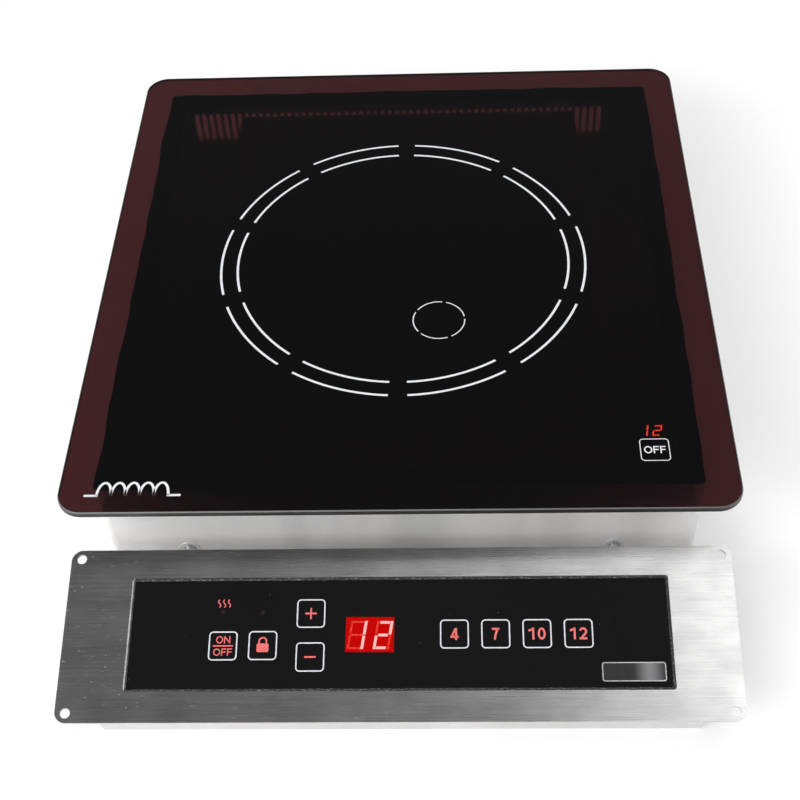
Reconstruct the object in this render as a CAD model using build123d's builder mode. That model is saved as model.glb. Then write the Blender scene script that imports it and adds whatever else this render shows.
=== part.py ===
"""Drop-in induction hob with a separate touch control panel, in millimetres.

The origin is on the underside of the hob's base, on its vertical axis. +X is to the user's right,
+Y away from the user and +Z up. The control panel lies on the same surface in front of the hob.
"""

import math
import os

from build123d import *

# Glass plate and its seal
hob_height = 82.0
glass_width = 360.0
glass_depth = 380.0
glass_thickness = 4.0
glass_corner_radius = 14.0
glass_arris = 0.6
glass_overhang = 18.0
seal_thickness = 1.5

# Sheet steel housing
sheet = 1.0
housing_corner_radius = 4.0
top_flange_width = 12.0
tray_clearance = 0.2
tray_flange_height = 34.0
tray_rear_flange_height = 14.0
vent_slot_width = 3.0
vent_slot_pitch = 5.0
vent_slot_bottom = 40.5
vent_slot_top_margin = 13.8
vent_left_margin = 13.0
vent_gland_gap = 0.7

# Pan head screws that hold the housing to the tray
screw_radius = 1.75
screw_length = 8.0
screw_head_radius = 3.6
screw_head_height = 2.4
screw_head_taper = 8.0
screw_recess_width = 1.0
screw_recess_depth = 1.2
screw_clearance = 0.2
wall_screw_height = 24.5
rear_screw_height = 7.0
front_screw_spacing = 236.0
side_screw_spacing = 220.0

# Induction coil, wound as two rings from one wire
coil_wire_radius = 1.3
coil_pitch = 3.3
coil_inner_radius = 22.0
coil_outer_radius = 104.0
coil_sensor_gap = 3.5
coil_lead_bend = 6.0
coil_seat_gap = 0.1

# Coil support
insulation_thickness = 2.5
mica_thickness = 0.8
carrier_floor = 2.0
carrier_wall = 2.0
carrier_wall_gap = 1.4
carrier_headroom = 0.8
carrier_hub_gap = 2.0
ferrite_thickness = 5.0
ferrite_width = 14.0
ferrite_count = 8
ferrite_inner_margin = 12.0
ferrite_outer_margin = 8.0
bridge_sheet = 1.5
bridge_side_margin = 6.0
bridge_wall_gap = 6.0
post_radius = 4.0
post_inset = 7.0
bridge_screw_radius = 1.5
bridge_screw_length = 8.0
bridge_screw_head_radius = 2.8
bridge_screw_head_height = 2.0
lead_hole_gap = 1.2

# Sprung temperature probe, under the small circle printed on the glass
sensor_x = 22.0
sensor_y = -51.5
sensor_cap_radius = 5.6
sensor_cap_wall = 0.8
sensor_cap_height = 8.0
sensor_clearance = 0.4
sensor_holder_wall = 3.0
sensor_holder_floor = 1.5
sensor_holder_height = 9.8
sensor_hole_gap = 0.8
spring_wire_radius = 0.35
spring_gap = 0.5
spring_turns = 5

# Axial fan that lies on the tray
fan_size = 80.0
fan_height = 25.0
fan_rim = 2.0
fan_corner_radius = 4.0
fan_hole_inset = 4.25
fan_hub_radius = 16.0
fan_hub_height = 17.0
fan_blade_count = 7
fan_blade_thickness = 1.5
fan_blade_chord = 18.0
fan_blade_angle = 38.0
fan_blade_tip_gap = 0.8
fan_blade_root = 3.0
fan_motor_plate = 3.0
fan_strut_width = 5.0
fan_pin_radius = 1.5
fan_pin_length = 12.0
fan_running_clearance = 0.05
fan_axial_clearance = 0.5
fan_side_gap = 26.0
fan_front_gap = 46.0
fan_screw_radius = 2.0
fan_screw_head_radius = 3.5
fan_screw_head_height = 2.2
intake_slot_width = 3.0
intake_slot_pitch = 6.0
intake_slot_count = 9
intake_slot_length = 50.0

# Power board and what stands on it
board_thickness = 1.6
standoff_height = 8.0
standoff_radius = 3.0
standoff_inset = 6.0
board_fan_gap = 16.0
board_left_gap = 13.0
board_rear_gap = 42.0
board_lead_margin = 11.0
device_thickness = 5.0
transistor_width = 16.0
transistor_length = 21.0
rectifier_width = 30.0
rectifier_length = 20.0
device_spacing = 20.0
heat_sink_width = 78.0
heat_sink_length = 130.0
heat_sink_base = 4.0
heat_sink_fin_height = 30.0
heat_sink_fin_thickness = 1.6
heat_sink_fin_count = 12
heat_sink_edge_gap = 6.0
capacitor_width = 18.0
capacitor_length = 42.0
capacitor_height = 32.0
capacitor_spacing = 24.0
capacitor_count = 2
capacitor_gap = 14.0
filter_capacitor_length = 30.0
filter_capacitor_height = 26.0
choke_width = 34.0
choke_length = 30.0
choke_height = 26.0
choke_bobbin_margin = 5.0
component_fillet = 1.0
terminal_radius = 5.0
terminal_height = 10.0

# Mains terminal block, earth stud and cable glands
terminal_block_width = 34.0
terminal_block_length = 26.0
terminal_block_height = 18.0
terminal_block_wall_gap = 7.0
terminal_block_front_gap = 94.0
terminal_screw_radius = 2.5
terminal_screw_depth = 4.0
terminal_pole_count = 3
earth_stud_radius = 2.5
earth_stud_height = 13.0
earth_nut_radius = 5.0
earth_nut_height = 4.0
earth_wall_gap = 24.0
earth_rear_gap = 52.0
mains_bore_radius = 4.5
control_bore_radius = 2.6
mains_thread_radius = 7.0
control_thread_radius = 5.0
gland_nut_rim = 3.5
hexagon_side_count = 6
gland_nut_height = 5.0
gland_thread_end = 2.0
thread_clearance = 0.05
mains_nose_length = 15.0
control_nose_length = 12.0
mains_gland_corner_gap = 0.8
mains_gland_height = 30.0
control_gland_front_gap = 112.0
control_gland_height = 14.0

# OFF key and its digits, on a small board under the glass
key_wall_gap = 25.0
key_front_gap = 21.0
key_display_rise = 16.5
key_pad_radius = 6.0
key_pad_height = 8.5
key_board_width = 38.0
key_board_length = 36.0
key_board_shift = 11.0
key_board_clearance = 2.0
key_display_width = 13.0
key_display_length = 9.0
key_display_height = 7.0
key_post_radius = 2.5
key_post_inset_x = 4.0
key_post_inset_y = 8.0

# Control panel, tilted towards the user
panel_tilt = 15.0
panel_gap = 2.7
bezel_width = 350.0
bezel_height = 93.0
bezel_sheet = 1.5
bezel_corner_radius = 6.0
bezel_hole_radius = 2.6
bezel_hole_inset_x = 5.5
bezel_hole_inset_y = 5.0
window_width = 282.0
window_height = 61.0
window_corner_radius = 1.5
seal_bead = 1.5
bead_recess = 0.3
touch_glass_thickness = 3.0
touch_glass_recess = 0.5
carrier_frame_width = 10.0
carrier_lip = 4.0
carrier_lip_thickness = 2.5
carrier_glass_clearance = 0.2
box_width = 312.0
box_edge_inset = 4.0
box_depth = 29.0
box_sheet = 1.2

# Electronics of the control panel
control_board_width = 292.0
control_board_height = 70.0
spacer_radius = 3.0
spacer_height = 6.0
spacer_inset_x = 4.0
spacer_inset_y = 4.0
touch_pad_radius = 5.0
first_key_u = 28.9
key_pitch = 21.3
key_row_v = -0.6
preset_key_count = 4
power_key_u = -91.2
lock_key_u = -70.4
power_key_v = -6.4
step_key_u = -45.6
plus_key_v = 10.7
minus_key_v = -12.6
display_u = -15.0
display_v = -1.0
display_width = 25.0
display_height = 19.0
display_depth = 7.0
lamp_v = 11.8
lamp_radius = 1.5
lamp_height = 5.0
chip_size = 14.0
chip_thickness = 2.0
chip_u = -60.0
connector_width = 20.0
connector_height = 8.0
connector_depth = 9.0
connector_u = 60.0
panel_gland_rise = 70.0

# Heights and places that follow from the sizes above
glass_bottom = hob_height - glass_thickness
housing_top = glass_bottom - seal_thickness
housing_width = glass_width - 2 * glass_overhang
housing_depth = glass_depth - 2 * glass_overhang
flange_opening_width = housing_width - 2 * top_flange_width
flange_opening_depth = housing_depth - 2 * top_flange_width
inner_corner_radius = housing_corner_radius - sheet
tray_width = housing_width - 2 * (sheet + tray_clearance)
tray_depth = housing_depth - 2 * (sheet + tray_clearance)
tray_wall = sheet + tray_clearance + sheet

mica_top = glass_bottom - insulation_thickness
carrier_top = mica_top - mica_thickness
carrier_floor_top = carrier_top - carrier_headroom - 2 * coil_wire_radius - coil_seat_gap
coil_height = carrier_floor_top + coil_seat_gap + coil_wire_radius
carrier_bottom = carrier_floor_top - carrier_floor
bridge_top = carrier_bottom - ferrite_thickness
bridge_bottom = bridge_top - bridge_sheet
carrier_radius = coil_outer_radius + coil_wire_radius + carrier_wall_gap + carrier_wall
carrier_hub_radius = coil_inner_radius - coil_wire_radius - carrier_hub_gap
bridge_width = 2 * (carrier_radius + bridge_side_margin)
bridge_depth = housing_depth - 2 * (sheet + bridge_wall_gap)
post_spacing_x = bridge_width - 2 * post_inset
post_spacing_y = bridge_depth - 2 * post_inset

fan_x = -housing_width / 2 + fan_side_gap + fan_size / 2
fan_y = -housing_depth / 2 + fan_front_gap + fan_size / 2
fan_hole_spacing = fan_size - 2 * fan_hole_inset
fan_bore_radius = fan_size / 2 - fan_rim
fan_hub_bottom = sheet + fan_motor_plate + fan_axial_clearance

board_bottom = sheet + standoff_height
board_top = board_bottom + board_thickness
board_left = -housing_width / 2 + board_left_gap
board_right = coil_outer_radius + board_lead_margin
board_front = fan_y + fan_size / 2 + board_fan_gap
board_rear = housing_depth / 2 - board_rear_gap
board_width = board_right - board_left
board_depth = board_rear - board_front
board_x = (board_left + board_right) / 2
board_y = (board_front + board_rear) / 2
heat_sink_x = board_left + heat_sink_edge_gap + heat_sink_width / 2
heat_sink_y = board_rear - heat_sink_edge_gap - heat_sink_length / 2
capacitor_x = heat_sink_x + heat_sink_width / 2 + capacitor_gap
capacitor_y = board_rear - capacitor_gap - capacitor_length / 2
choke_x = board_right - capacitor_gap - choke_width / 2
choke_y = board_rear - capacitor_gap - choke_length / 2

terminal_block_x = housing_width / 2 - tray_wall - terminal_block_wall_gap - terminal_block_width / 2
terminal_block_y = -housing_depth / 2 + terminal_block_front_gap + terminal_block_length / 2
earth_x = housing_width / 2 - earth_wall_gap
earth_y = housing_depth / 2 - earth_rear_gap
mains_nut_radius = mains_thread_radius + gland_nut_rim
mains_gland_x = tray_width / 2 - housing_corner_radius - mains_gland_corner_gap - mains_nut_radius

key_board_top = glass_bottom - key_pad_height
key_board_bottom = key_board_top - board_thickness
key_x = housing_width / 2 - key_wall_gap
key_y = -housing_depth / 2 + key_front_gap
key_display_y = key_y + key_display_rise
key_board_y = key_y + key_board_shift

box_height = bezel_height - 2 * box_edge_inset
panel_depth = bezel_sheet + box_depth
tilt_sine = math.sin(math.radians(panel_tilt))
tilt_cosine = math.cos(math.radians(panel_tilt))
panel_centre_y = -(glass_depth / 2 + panel_gap + bezel_height / 2 * tilt_cosine)
panel_centre_z = box_height / 2 * tilt_sine + panel_depth * tilt_cosine
panel_face = Plane(
    origin=(0, panel_centre_y, panel_centre_z),
    x_dir=(1, 0, 0),
    z_dir=(0, -tilt_sine, tilt_cosine),
)
touch_glass_width = window_width - 2 * seal_bead
touch_glass_height = window_height - 2 * seal_bead
touch_glass_back = -touch_glass_recess - touch_glass_thickness
carrier_back = touch_glass_back - carrier_lip_thickness
control_board_front = carrier_back - spacer_height
control_board_back = control_board_front - board_thickness
panel_gland_v = panel_gland_rise - box_height / 2
panel_nose_radius = control_thread_radius + gland_nut_rim
panel_nose_length = (panel_gland_rise - panel_nose_radius) * tilt_sine / tilt_cosine

screw_planes = []
for side in (-1, 1):
    screw_planes.append(
        Plane((side * front_screw_spacing / 2, -housing_depth / 2, wall_screw_height), z_dir=(0, -1, 0))
    )
    screw_planes.append(
        Plane((side * front_screw_spacing / 2, housing_depth / 2, rear_screw_height), z_dir=(0, 1, 0))
    )
    for end in (-1, 1):
        screw_planes.append(
            Plane(
                (side * housing_width / 2, end * side_screw_spacing / 2, wall_screw_height),
                z_dir=(side, 0, 0),
            )
        )

mains_gland_face = Plane((mains_gland_x, housing_depth / 2, mains_gland_height), z_dir=(0, 1, 0))
control_gland_y = -housing_depth / 2 + control_gland_front_gap
control_gland_face = Plane((-housing_width / 2, control_gland_y, control_gland_height), z_dir=(-1, 0, 0))
panel_gland_face = Plane(
    origin=panel_face.from_local_coords(Vector(0, panel_gland_v, -panel_depth)),
    x_dir=(1, 0, 0),
    z_dir=(0, tilt_sine, -tilt_cosine),
)

# Glass plate: ceramic glass with ground edges
with BuildPart() as glass_plate:
    with BuildSketch(Plane.XY.offset(glass_bottom)):
        RectangleRounded(glass_width, glass_depth, glass_corner_radius)
    extrude(amount=glass_thickness)
    chamfer(glass_plate.faces().sort_by(Axis.Z)[-1].edges(), length=glass_arris)
    chamfer(glass_plate.faces().sort_by(Axis.Z)[0].edges(), length=glass_arris)
glass_plate.part.label = "glass_plate"

# Glass seal: silicone bead that bonds the plate to the housing's top flange
with BuildPart() as glass_seal:
    with BuildSketch(Plane.XY.offset(housing_top)):
        RectangleRounded(housing_width, housing_depth, housing_corner_radius)
        RectangleRounded(flange_opening_width, flange_opening_depth, inner_corner_radius, mode=Mode.SUBTRACT)
    extrude(amount=seal_thickness)
glass_seal.part.label = "glass_seal"

# Housing shell: four walls and a top flange in one folded sheet, with vent slots at the back
vent_slot_top = housing_top - vent_slot_top_margin
vent_left = -housing_width / 2 + vent_left_margin
vent_right = mains_gland_x - mains_nut_radius - vent_gland_gap
vent_slot_count = 1 + math.floor((vent_right - vent_left - vent_slot_width) / vent_slot_pitch)
vent_row_length = (vent_slot_count - 1) * vent_slot_pitch
vent_row_x = vent_left + vent_slot_width / 2 + vent_row_length / 2
vent_plane = Plane(
    origin=(vent_row_x, housing_depth / 2, (vent_slot_top + vent_slot_bottom) / 2),
    x_dir=(-1, 0, 0),
    z_dir=(0, 1, 0),
)
with BuildPart() as housing_shell:
    with BuildSketch(Plane.XY):
        RectangleRounded(housing_width, housing_depth, housing_corner_radius)
        RectangleRounded(
            housing_width - 2 * sheet, housing_depth - 2 * sheet, inner_corner_radius, mode=Mode.SUBTRACT
        )
    extrude(amount=housing_top)
    with BuildSketch(Plane.XY.offset(housing_top - sheet)):
        RectangleRounded(housing_width, housing_depth, housing_corner_radius)
        RectangleRounded(flange_opening_width, flange_opening_depth, inner_corner_radius, mode=Mode.SUBTRACT)
    extrude(amount=sheet)
    with BuildSketch(vent_plane):
        with GridLocations(vent_slot_pitch, vent_slot_pitch, vent_slot_count, 1):
            SlotOverall(vent_slot_top - vent_slot_bottom, vent_slot_width, rotation=90)
    extrude(amount=-sheet, mode=Mode.SUBTRACT)
    with BuildSketch(*screw_planes):
        Circle(screw_radius + screw_clearance)
    extrude(amount=-sheet, mode=Mode.SUBTRACT)
    with BuildSketch(mains_gland_face):
        Circle(mains_thread_radius + screw_clearance)
    extrude(amount=-sheet, mode=Mode.SUBTRACT)
    with BuildSketch(control_gland_face):
        Circle(control_thread_radius + screw_clearance)
    extrude(amount=-sheet, mode=Mode.SUBTRACT)
housing_shell.part.label = "housing_shell"

# Base tray: bottom sheet with upturned flanges, slotted under the fan
with BuildPart() as base_tray:
    with BuildSketch(Plane.XY):
        RectangleRounded(tray_width, tray_depth, inner_corner_radius - tray_clearance)
    extrude(amount=sheet)
    with BuildSketch(Plane.XY):
        RectangleRounded(tray_width, tray_depth, inner_corner_radius - tray_clearance)
        RectangleRounded(
            tray_width - 2 * sheet,
            tray_depth - 2 * sheet,
            inner_corner_radius - tray_clearance - sheet,
            mode=Mode.SUBTRACT,
        )
    extrude(amount=tray_flange_height)
    with BuildSketch(Plane.XY.offset(tray_rear_flange_height)):
        with Locations((0, tray_depth / 2)):
            Rectangle(tray_width - 2 * housing_corner_radius, 2 * housing_corner_radius)
    extrude(amount=tray_flange_height, mode=Mode.SUBTRACT)
    with BuildSketch(*screw_planes):
        Circle(screw_radius + thread_clearance)
    extrude(amount=-tray_wall, mode=Mode.SUBTRACT)
    with BuildSketch(control_gland_face):
        Circle(control_thread_radius + screw_clearance)
    extrude(amount=-tray_wall, mode=Mode.SUBTRACT)
    with BuildSketch(Plane.XY):
        with Locations((fan_x, fan_y)):
            with GridLocations(intake_slot_pitch, intake_slot_pitch, intake_slot_count, 1):
                SlotOverall(intake_slot_length, intake_slot_width, rotation=90)
            with GridLocations(fan_hole_spacing, fan_hole_spacing, 2, 2):
                Circle(fan_screw_radius + thread_clearance)
    extrude(amount=sheet, mode=Mode.SUBTRACT)
base_tray.part.label = "base_tray"

# Housing screws: cross-recessed pan heads through the walls into the tray's flanges
with BuildPart() as housing_screws:
    for face in screw_planes:
        with BuildSketch(face):
            Circle(screw_head_radius)
        extrude(amount=screw_head_height, taper=screw_head_taper)
        with BuildSketch(face):
            Circle(screw_radius)
        extrude(amount=-screw_length)
        with BuildSketch(face.offset(screw_head_height)):
            Rectangle(2 * screw_radius, screw_recess_width)
            Rectangle(screw_recess_width, 2 * screw_radius)
        extrude(amount=-screw_recess_depth, mode=Mode.SUBTRACT)
housing_screws.part.label = "housing_screws"

# Coil posts: turned pillars that stand on the tray and carry the bridge
with BuildPart() as coil_posts:
    with BuildSketch(Plane.XY.offset(sheet)):
        with GridLocations(post_spacing_x, post_spacing_y, 2, 2):
            Circle(post_radius)
    extrude(amount=bridge_bottom - sheet)
    with BuildSketch(Plane.XY.offset(bridge_bottom)):
        with GridLocations(post_spacing_x, post_spacing_y, 2, 2):
            Circle(bridge_screw_radius)
    extrude(amount=-bridge_screw_length, mode=Mode.SUBTRACT)
coil_posts.part.label = "coil_posts"

# Coil bridge: aluminium sheet that carries the coil and screens the electronics
inner_lead = (coil_inner_radius, -coil_lead_bend)
outer_lead = (coil_outer_radius, coil_lead_bend)
with BuildPart() as coil_bridge:
    with BuildSketch(Plane.XY.offset(bridge_bottom)):
        RectangleRounded(bridge_width, bridge_depth, housing_corner_radius)
        with GridLocations(post_spacing_x, post_spacing_y, 2, 2):
            Circle(bridge_screw_radius + screw_clearance, mode=Mode.SUBTRACT)
        with Locations(inner_lead, outer_lead):
            Circle(coil_wire_radius + lead_hole_gap, mode=Mode.SUBTRACT)
        with Locations((key_x, key_board_y)):
            Rectangle(
                key_board_width + 2 * key_board_clearance,
                key_board_length + 2 * key_board_clearance,
                mode=Mode.SUBTRACT,
            )
    extrude(amount=bridge_sheet)
coil_bridge.part.label = "coil_bridge"

# Bridge screws: one into the top of each post
with BuildPart() as bridge_screws:
    with BuildSketch(Plane.XY.offset(bridge_top)):
        with GridLocations(post_spacing_x, post_spacing_y, 2, 2):
            Circle(bridge_screw_head_radius)
    extrude(amount=bridge_screw_head_height)
    with BuildSketch(Plane.XY.offset(bridge_top)):
        with GridLocations(post_spacing_x, post_spacing_y, 2, 2):
            Circle(bridge_screw_radius)
    extrude(amount=-bridge_screw_length)
bridge_screws.part.label = "bridge_screws"

# Ferrite bars: laid out like spokes between the bridge and the coil carrier
ferrite_length = coil_outer_radius - ferrite_outer_margin - coil_inner_radius - ferrite_inner_margin
ferrite_mid_radius = coil_inner_radius + ferrite_inner_margin + ferrite_length / 2
with BuildPart() as ferrite_bars:
    with BuildSketch(Plane.XY.offset(bridge_top)):
        with PolarLocations(ferrite_mid_radius, ferrite_count):
            Rectangle(ferrite_length, ferrite_width)
    extrude(amount=ferrite_thickness)
ferrite_bars.part.label = "ferrite_bars"

# Coil carrier: moulded dish with a hub wall, an outer wall and slots for the coil's leads
lead_slot_width = 2 * (coil_wire_radius + lead_hole_gap)
lead_slot_length = coil_lead_bend + lead_slot_width
sensor_holder_radius = sensor_cap_radius + sensor_clearance + sensor_holder_wall
with BuildPart() as coil_carrier:
    with BuildSketch(Plane.XY.offset(carrier_bottom)):
        Circle(carrier_radius)
        Circle(carrier_hub_radius - carrier_wall, mode=Mode.SUBTRACT)
        with Locations((sensor_x, sensor_y)):
            Circle(sensor_holder_radius + sensor_hole_gap, mode=Mode.SUBTRACT)
        with Locations(
            (coil_inner_radius, -coil_lead_bend / 2), (coil_outer_radius, coil_lead_bend / 2)
        ):
            SlotOverall(lead_slot_length, lead_slot_width, rotation=90, mode=Mode.SUBTRACT)
    extrude(amount=carrier_floor)
    with BuildSketch(Plane.XY.offset(carrier_floor_top)):
        Circle(carrier_radius)
        Circle(carrier_radius - carrier_wall, mode=Mode.SUBTRACT)
        Circle(carrier_hub_radius)
        Circle(carrier_hub_radius - carrier_wall, mode=Mode.SUBTRACT)
    extrude(amount=carrier_top - carrier_floor_top)
coil_carrier.part.label = "coil_carrier"

# Induction coil: one wire of half-circle turns, an inner ring, a step out over the probe's far side
# and an outer ring, with both ends bent down to the power board
half_pitch = coil_pitch / 2
sensor_reach = math.hypot(sensor_x, sensor_y)
sensor_room = sensor_holder_radius + coil_sensor_gap + coil_wire_radius
inner_half_turns = 2 * math.floor((sensor_reach - sensor_room - coil_inner_radius) / coil_pitch)
outer_turns = math.floor((coil_outer_radius - sensor_reach - sensor_room - half_pitch) / coil_pitch)
outer_half_turns = 2 * outer_turns + 1
step_radius = coil_outer_radius - outer_half_turns * half_pitch
crossings = [coil_inner_radius + half_pitch * turn for turn in range(inner_half_turns + 1)]
crossings += [step_radius + half_pitch * turn for turn in range(outer_half_turns + 1)]
terminal_top = board_top + terminal_height
lead_top = coil_height - coil_lead_bend
with BuildPart() as induction_coil:
    with BuildLine() as coil_path:
        Line((*inner_lead, terminal_top), (*inner_lead, lead_top))
        TangentArc((*inner_lead, lead_top), (coil_inner_radius, 0, coil_height), tangent=(0, 0, 1))
        for turn in range(len(crossings) - 1):
            side = 1 if turn % 2 == 0 else -1
            TangentArc(
                (side * crossings[turn], 0, coil_height),
                (-side * crossings[turn + 1], 0, coil_height),
                tangent=(0, side, 0),
            )
        TangentArc((coil_outer_radius, 0, coil_height), (*outer_lead, lead_top), tangent=(0, 1, 0))
        Line((*outer_lead, lead_top), (*outer_lead, terminal_top))
    with BuildSketch(Plane.XY.offset(terminal_top)):
        with Locations(inner_lead):
            Circle(coil_wire_radius)
    sweep()
induction_coil.part.label = "induction_coil"

# Mica sheet: electrical insulation over the coil, pierced for the probe
with BuildPart() as mica_sheet:
    with BuildSketch(Plane.XY.offset(carrier_top)):
        Circle(carrier_radius)
        with Locations((sensor_x, sensor_y)):
            Circle(sensor_cap_radius + sensor_hole_gap, mode=Mode.SUBTRACT)
    extrude(amount=mica_thickness)
mica_sheet.part.label = "mica_sheet"

# Insulation pad: ceramic fibre felt between the mica and the hot glass
with BuildPart() as insulation_pad:
    with BuildSketch(Plane.XY.offset(mica_top)):
        Circle(carrier_radius)
        with Locations((sensor_x, sensor_y)):
            Circle(sensor_cap_radius + sensor_hole_gap, mode=Mode.SUBTRACT)
    extrude(amount=insulation_thickness)
insulation_pad.part.label = "insulation_pad"

# Sensor holder: cup on the bridge that guides the probe's cap
with BuildPart() as sensor_holder:
    with BuildSketch(Plane.XY.offset(bridge_top)):
        with Locations((sensor_x, sensor_y)):
            Circle(sensor_holder_radius)
    extrude(amount=sensor_holder_height)
    with BuildSketch(Plane.XY.offset(bridge_top + sensor_holder_floor)):
        with Locations((sensor_x, sensor_y)):
            Circle(sensor_cap_radius + sensor_clearance)
    extrude(amount=sensor_holder_height, mode=Mode.SUBTRACT)
sensor_holder.part.label = "sensor_holder"

# Sensor cap: thin cup that the spring keeps against the underside of the glass
with BuildPart() as sensor_cap:
    with BuildSketch(Plane.XY.offset(glass_bottom)):
        with Locations((sensor_x, sensor_y)):
            Circle(sensor_cap_radius)
    extrude(amount=-sensor_cap_height)
    with BuildSketch(Plane.XY.offset(glass_bottom - sensor_cap_height)):
        with Locations((sensor_x, sensor_y)):
            Circle(sensor_cap_radius - sensor_cap_wall)
    extrude(amount=sensor_cap_height - sensor_cap_wall, mode=Mode.SUBTRACT)
sensor_cap.part.label = "sensor_cap"

# Sensor spring: wire helix of quarter turns, each drawn as a pair of arcs with one tangent
spring_radius = sensor_cap_radius - sensor_cap_wall - spring_gap - spring_wire_radius
spring_low = bridge_top + sensor_holder_floor + spring_wire_radius
spring_high = glass_bottom - sensor_cap_wall - spring_wire_radius
spring_pitch = (spring_high - spring_low) / spring_turns


def helix_point(quarter):
    angle = quarter * math.pi / 2
    return Vector(
        sensor_x + spring_radius * math.cos(angle),
        sensor_y + spring_radius * math.sin(angle),
        spring_low + spring_pitch * quarter / 4,
    )


def helix_direction(quarter):
    angle = quarter * math.pi / 2
    rise = spring_pitch / (2 * math.pi)
    return Vector(-spring_radius * math.sin(angle), spring_radius * math.cos(angle), rise).normalized()


with BuildPart() as sensor_spring:
    with BuildLine() as spring_path:
        for quarter in range(4 * spring_turns):
            start, start_way = helix_point(quarter), helix_direction(quarter)
            end, end_way = helix_point(quarter + 1), helix_direction(quarter + 1)
            chord = end - start
            ways = start_way + end_way
            square = 2 * (start_way.dot(end_way) - 1)
            reach = (chord.dot(ways) - math.sqrt(chord.dot(ways) ** 2 - square * chord.dot(chord))) / square
            start_corner = start + start_way * reach
            end_corner = end - end_way * reach
            joint = (start_corner + end_corner) / 2
            TangentArc(start, joint, tangent=start_way)
            TangentArc(joint, end, tangent=end_corner - start_corner)
    with BuildSketch(Plane(helix_point(0), z_dir=helix_direction(0))):
        Circle(spring_wire_radius)
    sweep()
sensor_spring.part.label = "sensor_spring"

# Fan frame: square moulding with a round duct, a motor plate on struts and the rotor's pin
with BuildPart() as fan_frame:
    with BuildSketch(Plane.XY.offset(sheet)):
        with Locations((fan_x, fan_y)):
            RectangleRounded(fan_size, fan_size, fan_corner_radius)
            Circle(fan_bore_radius, mode=Mode.SUBTRACT)
            with GridLocations(fan_hole_spacing, fan_hole_spacing, 2, 2):
                Circle(fan_screw_radius + screw_clearance, mode=Mode.SUBTRACT)
    extrude(amount=fan_height)
    with BuildSketch(Plane.XY.offset(sheet)):
        with Locations((fan_x, fan_y)):
            Circle(fan_hub_radius)
            Rectangle(2 * fan_bore_radius + fan_rim, fan_strut_width)
            Rectangle(fan_strut_width, 2 * fan_bore_radius + fan_rim)
    extrude(amount=fan_motor_plate)
    with BuildSketch(Plane.XY.offset(sheet + fan_motor_plate)):
        with Locations((fan_x, fan_y)):
            Circle(fan_pin_radius)
    extrude(amount=fan_pin_length)
fan_frame.part.label = "fan_frame"

# Fan rotor: hub that turns on the pin, with tilted blades
blade_tip = math.sqrt(
    (fan_bore_radius - fan_blade_tip_gap) ** 2
    - (fan_blade_chord / 2 * math.sin(math.radians(fan_blade_angle)) + fan_blade_thickness) ** 2
)
blade_root = fan_hub_radius - fan_blade_root
with BuildPart() as fan_rotor:
    with BuildSketch(Plane.XY.offset(fan_hub_bottom)):
        with Locations((fan_x, fan_y)):
            Circle(fan_hub_radius)
    extrude(amount=fan_hub_height)
    with Locations((fan_x, fan_y, fan_hub_bottom + fan_hub_height / 2)):
        with PolarLocations((blade_root + blade_tip) / 2, fan_blade_count):
            Box(
                blade_tip - blade_root,
                fan_blade_thickness,
                fan_blade_chord,
                rotation=(fan_blade_angle, 0, 0),
            )
    with BuildSketch(Plane.XY.offset(fan_hub_bottom)):
        with Locations((fan_x, fan_y)):
            Circle(fan_pin_radius + fan_running_clearance)
    extrude(amount=fan_pin_length, mode=Mode.SUBTRACT)
    fillet(fan_rotor.faces().sort_by(Axis.Z)[-1].edges(), radius=component_fillet)
fan_rotor.part.label = "fan_rotor"

# Fan screws: four long screws through the frame's corners into the tray
with BuildPart() as fan_screws:
    with BuildSketch(Plane.XY):
        with Locations((fan_x, fan_y)):
            with GridLocations(fan_hole_spacing, fan_hole_spacing, 2, 2):
                Circle(fan_screw_radius)
    extrude(amount=sheet + fan_height)
    with BuildSketch(Plane.XY.offset(sheet + fan_height)):
        with Locations((fan_x, fan_y)):
            with GridLocations(fan_hole_spacing, fan_hole_spacing, 2, 2):
                Circle(fan_screw_head_radius)
    extrude(amount=fan_screw_head_height)
fan_screws.part.label = "fan_screws"

# Board standoffs: spacers between the tray and the power board
with BuildPart() as board_standoffs:
    with BuildSketch(Plane.XY.offset(sheet)):
        with Locations((board_x, board_y)):
            with GridLocations(board_width - 2 * standoff_inset, board_depth - 2 * standoff_inset, 2, 2):
                Circle(standoff_radius)
    extrude(amount=standoff_height)
board_standoffs.part.label = "board_standoffs"

# Power board: circuit board of the inverter
with BuildPart() as power_board:
    with BuildSketch(Plane.XY.offset(board_bottom)):
        with Locations((board_x, board_y)):
            Rectangle(board_width, board_depth)
    extrude(amount=board_thickness)
power_board.part.label = "power_board"

# Power transistors: a pair that lies flat under the heat sink
with BuildPart() as power_transistors:
    with BuildSketch(Plane.XY.offset(board_top)):
        with Locations((heat_sink_x, heat_sink_y - device_spacing)):
            with GridLocations(transistor_width + device_spacing, transistor_length, 2, 1):
                Rectangle(transistor_width, transistor_length)
    extrude(amount=device_thickness)
power_transistors.part.label = "power_transistors"

# Bridge rectifier: turns the mains into direct current, also under the heat sink
with BuildPart() as bridge_rectifier:
    with BuildSketch(Plane.XY.offset(board_top)):
        with Locations((heat_sink_x, heat_sink_y + device_spacing)):
            Rectangle(rectifier_width, rectifier_length)
    extrude(amount=device_thickness)
bridge_rectifier.part.label = "bridge_rectifier"

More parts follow.
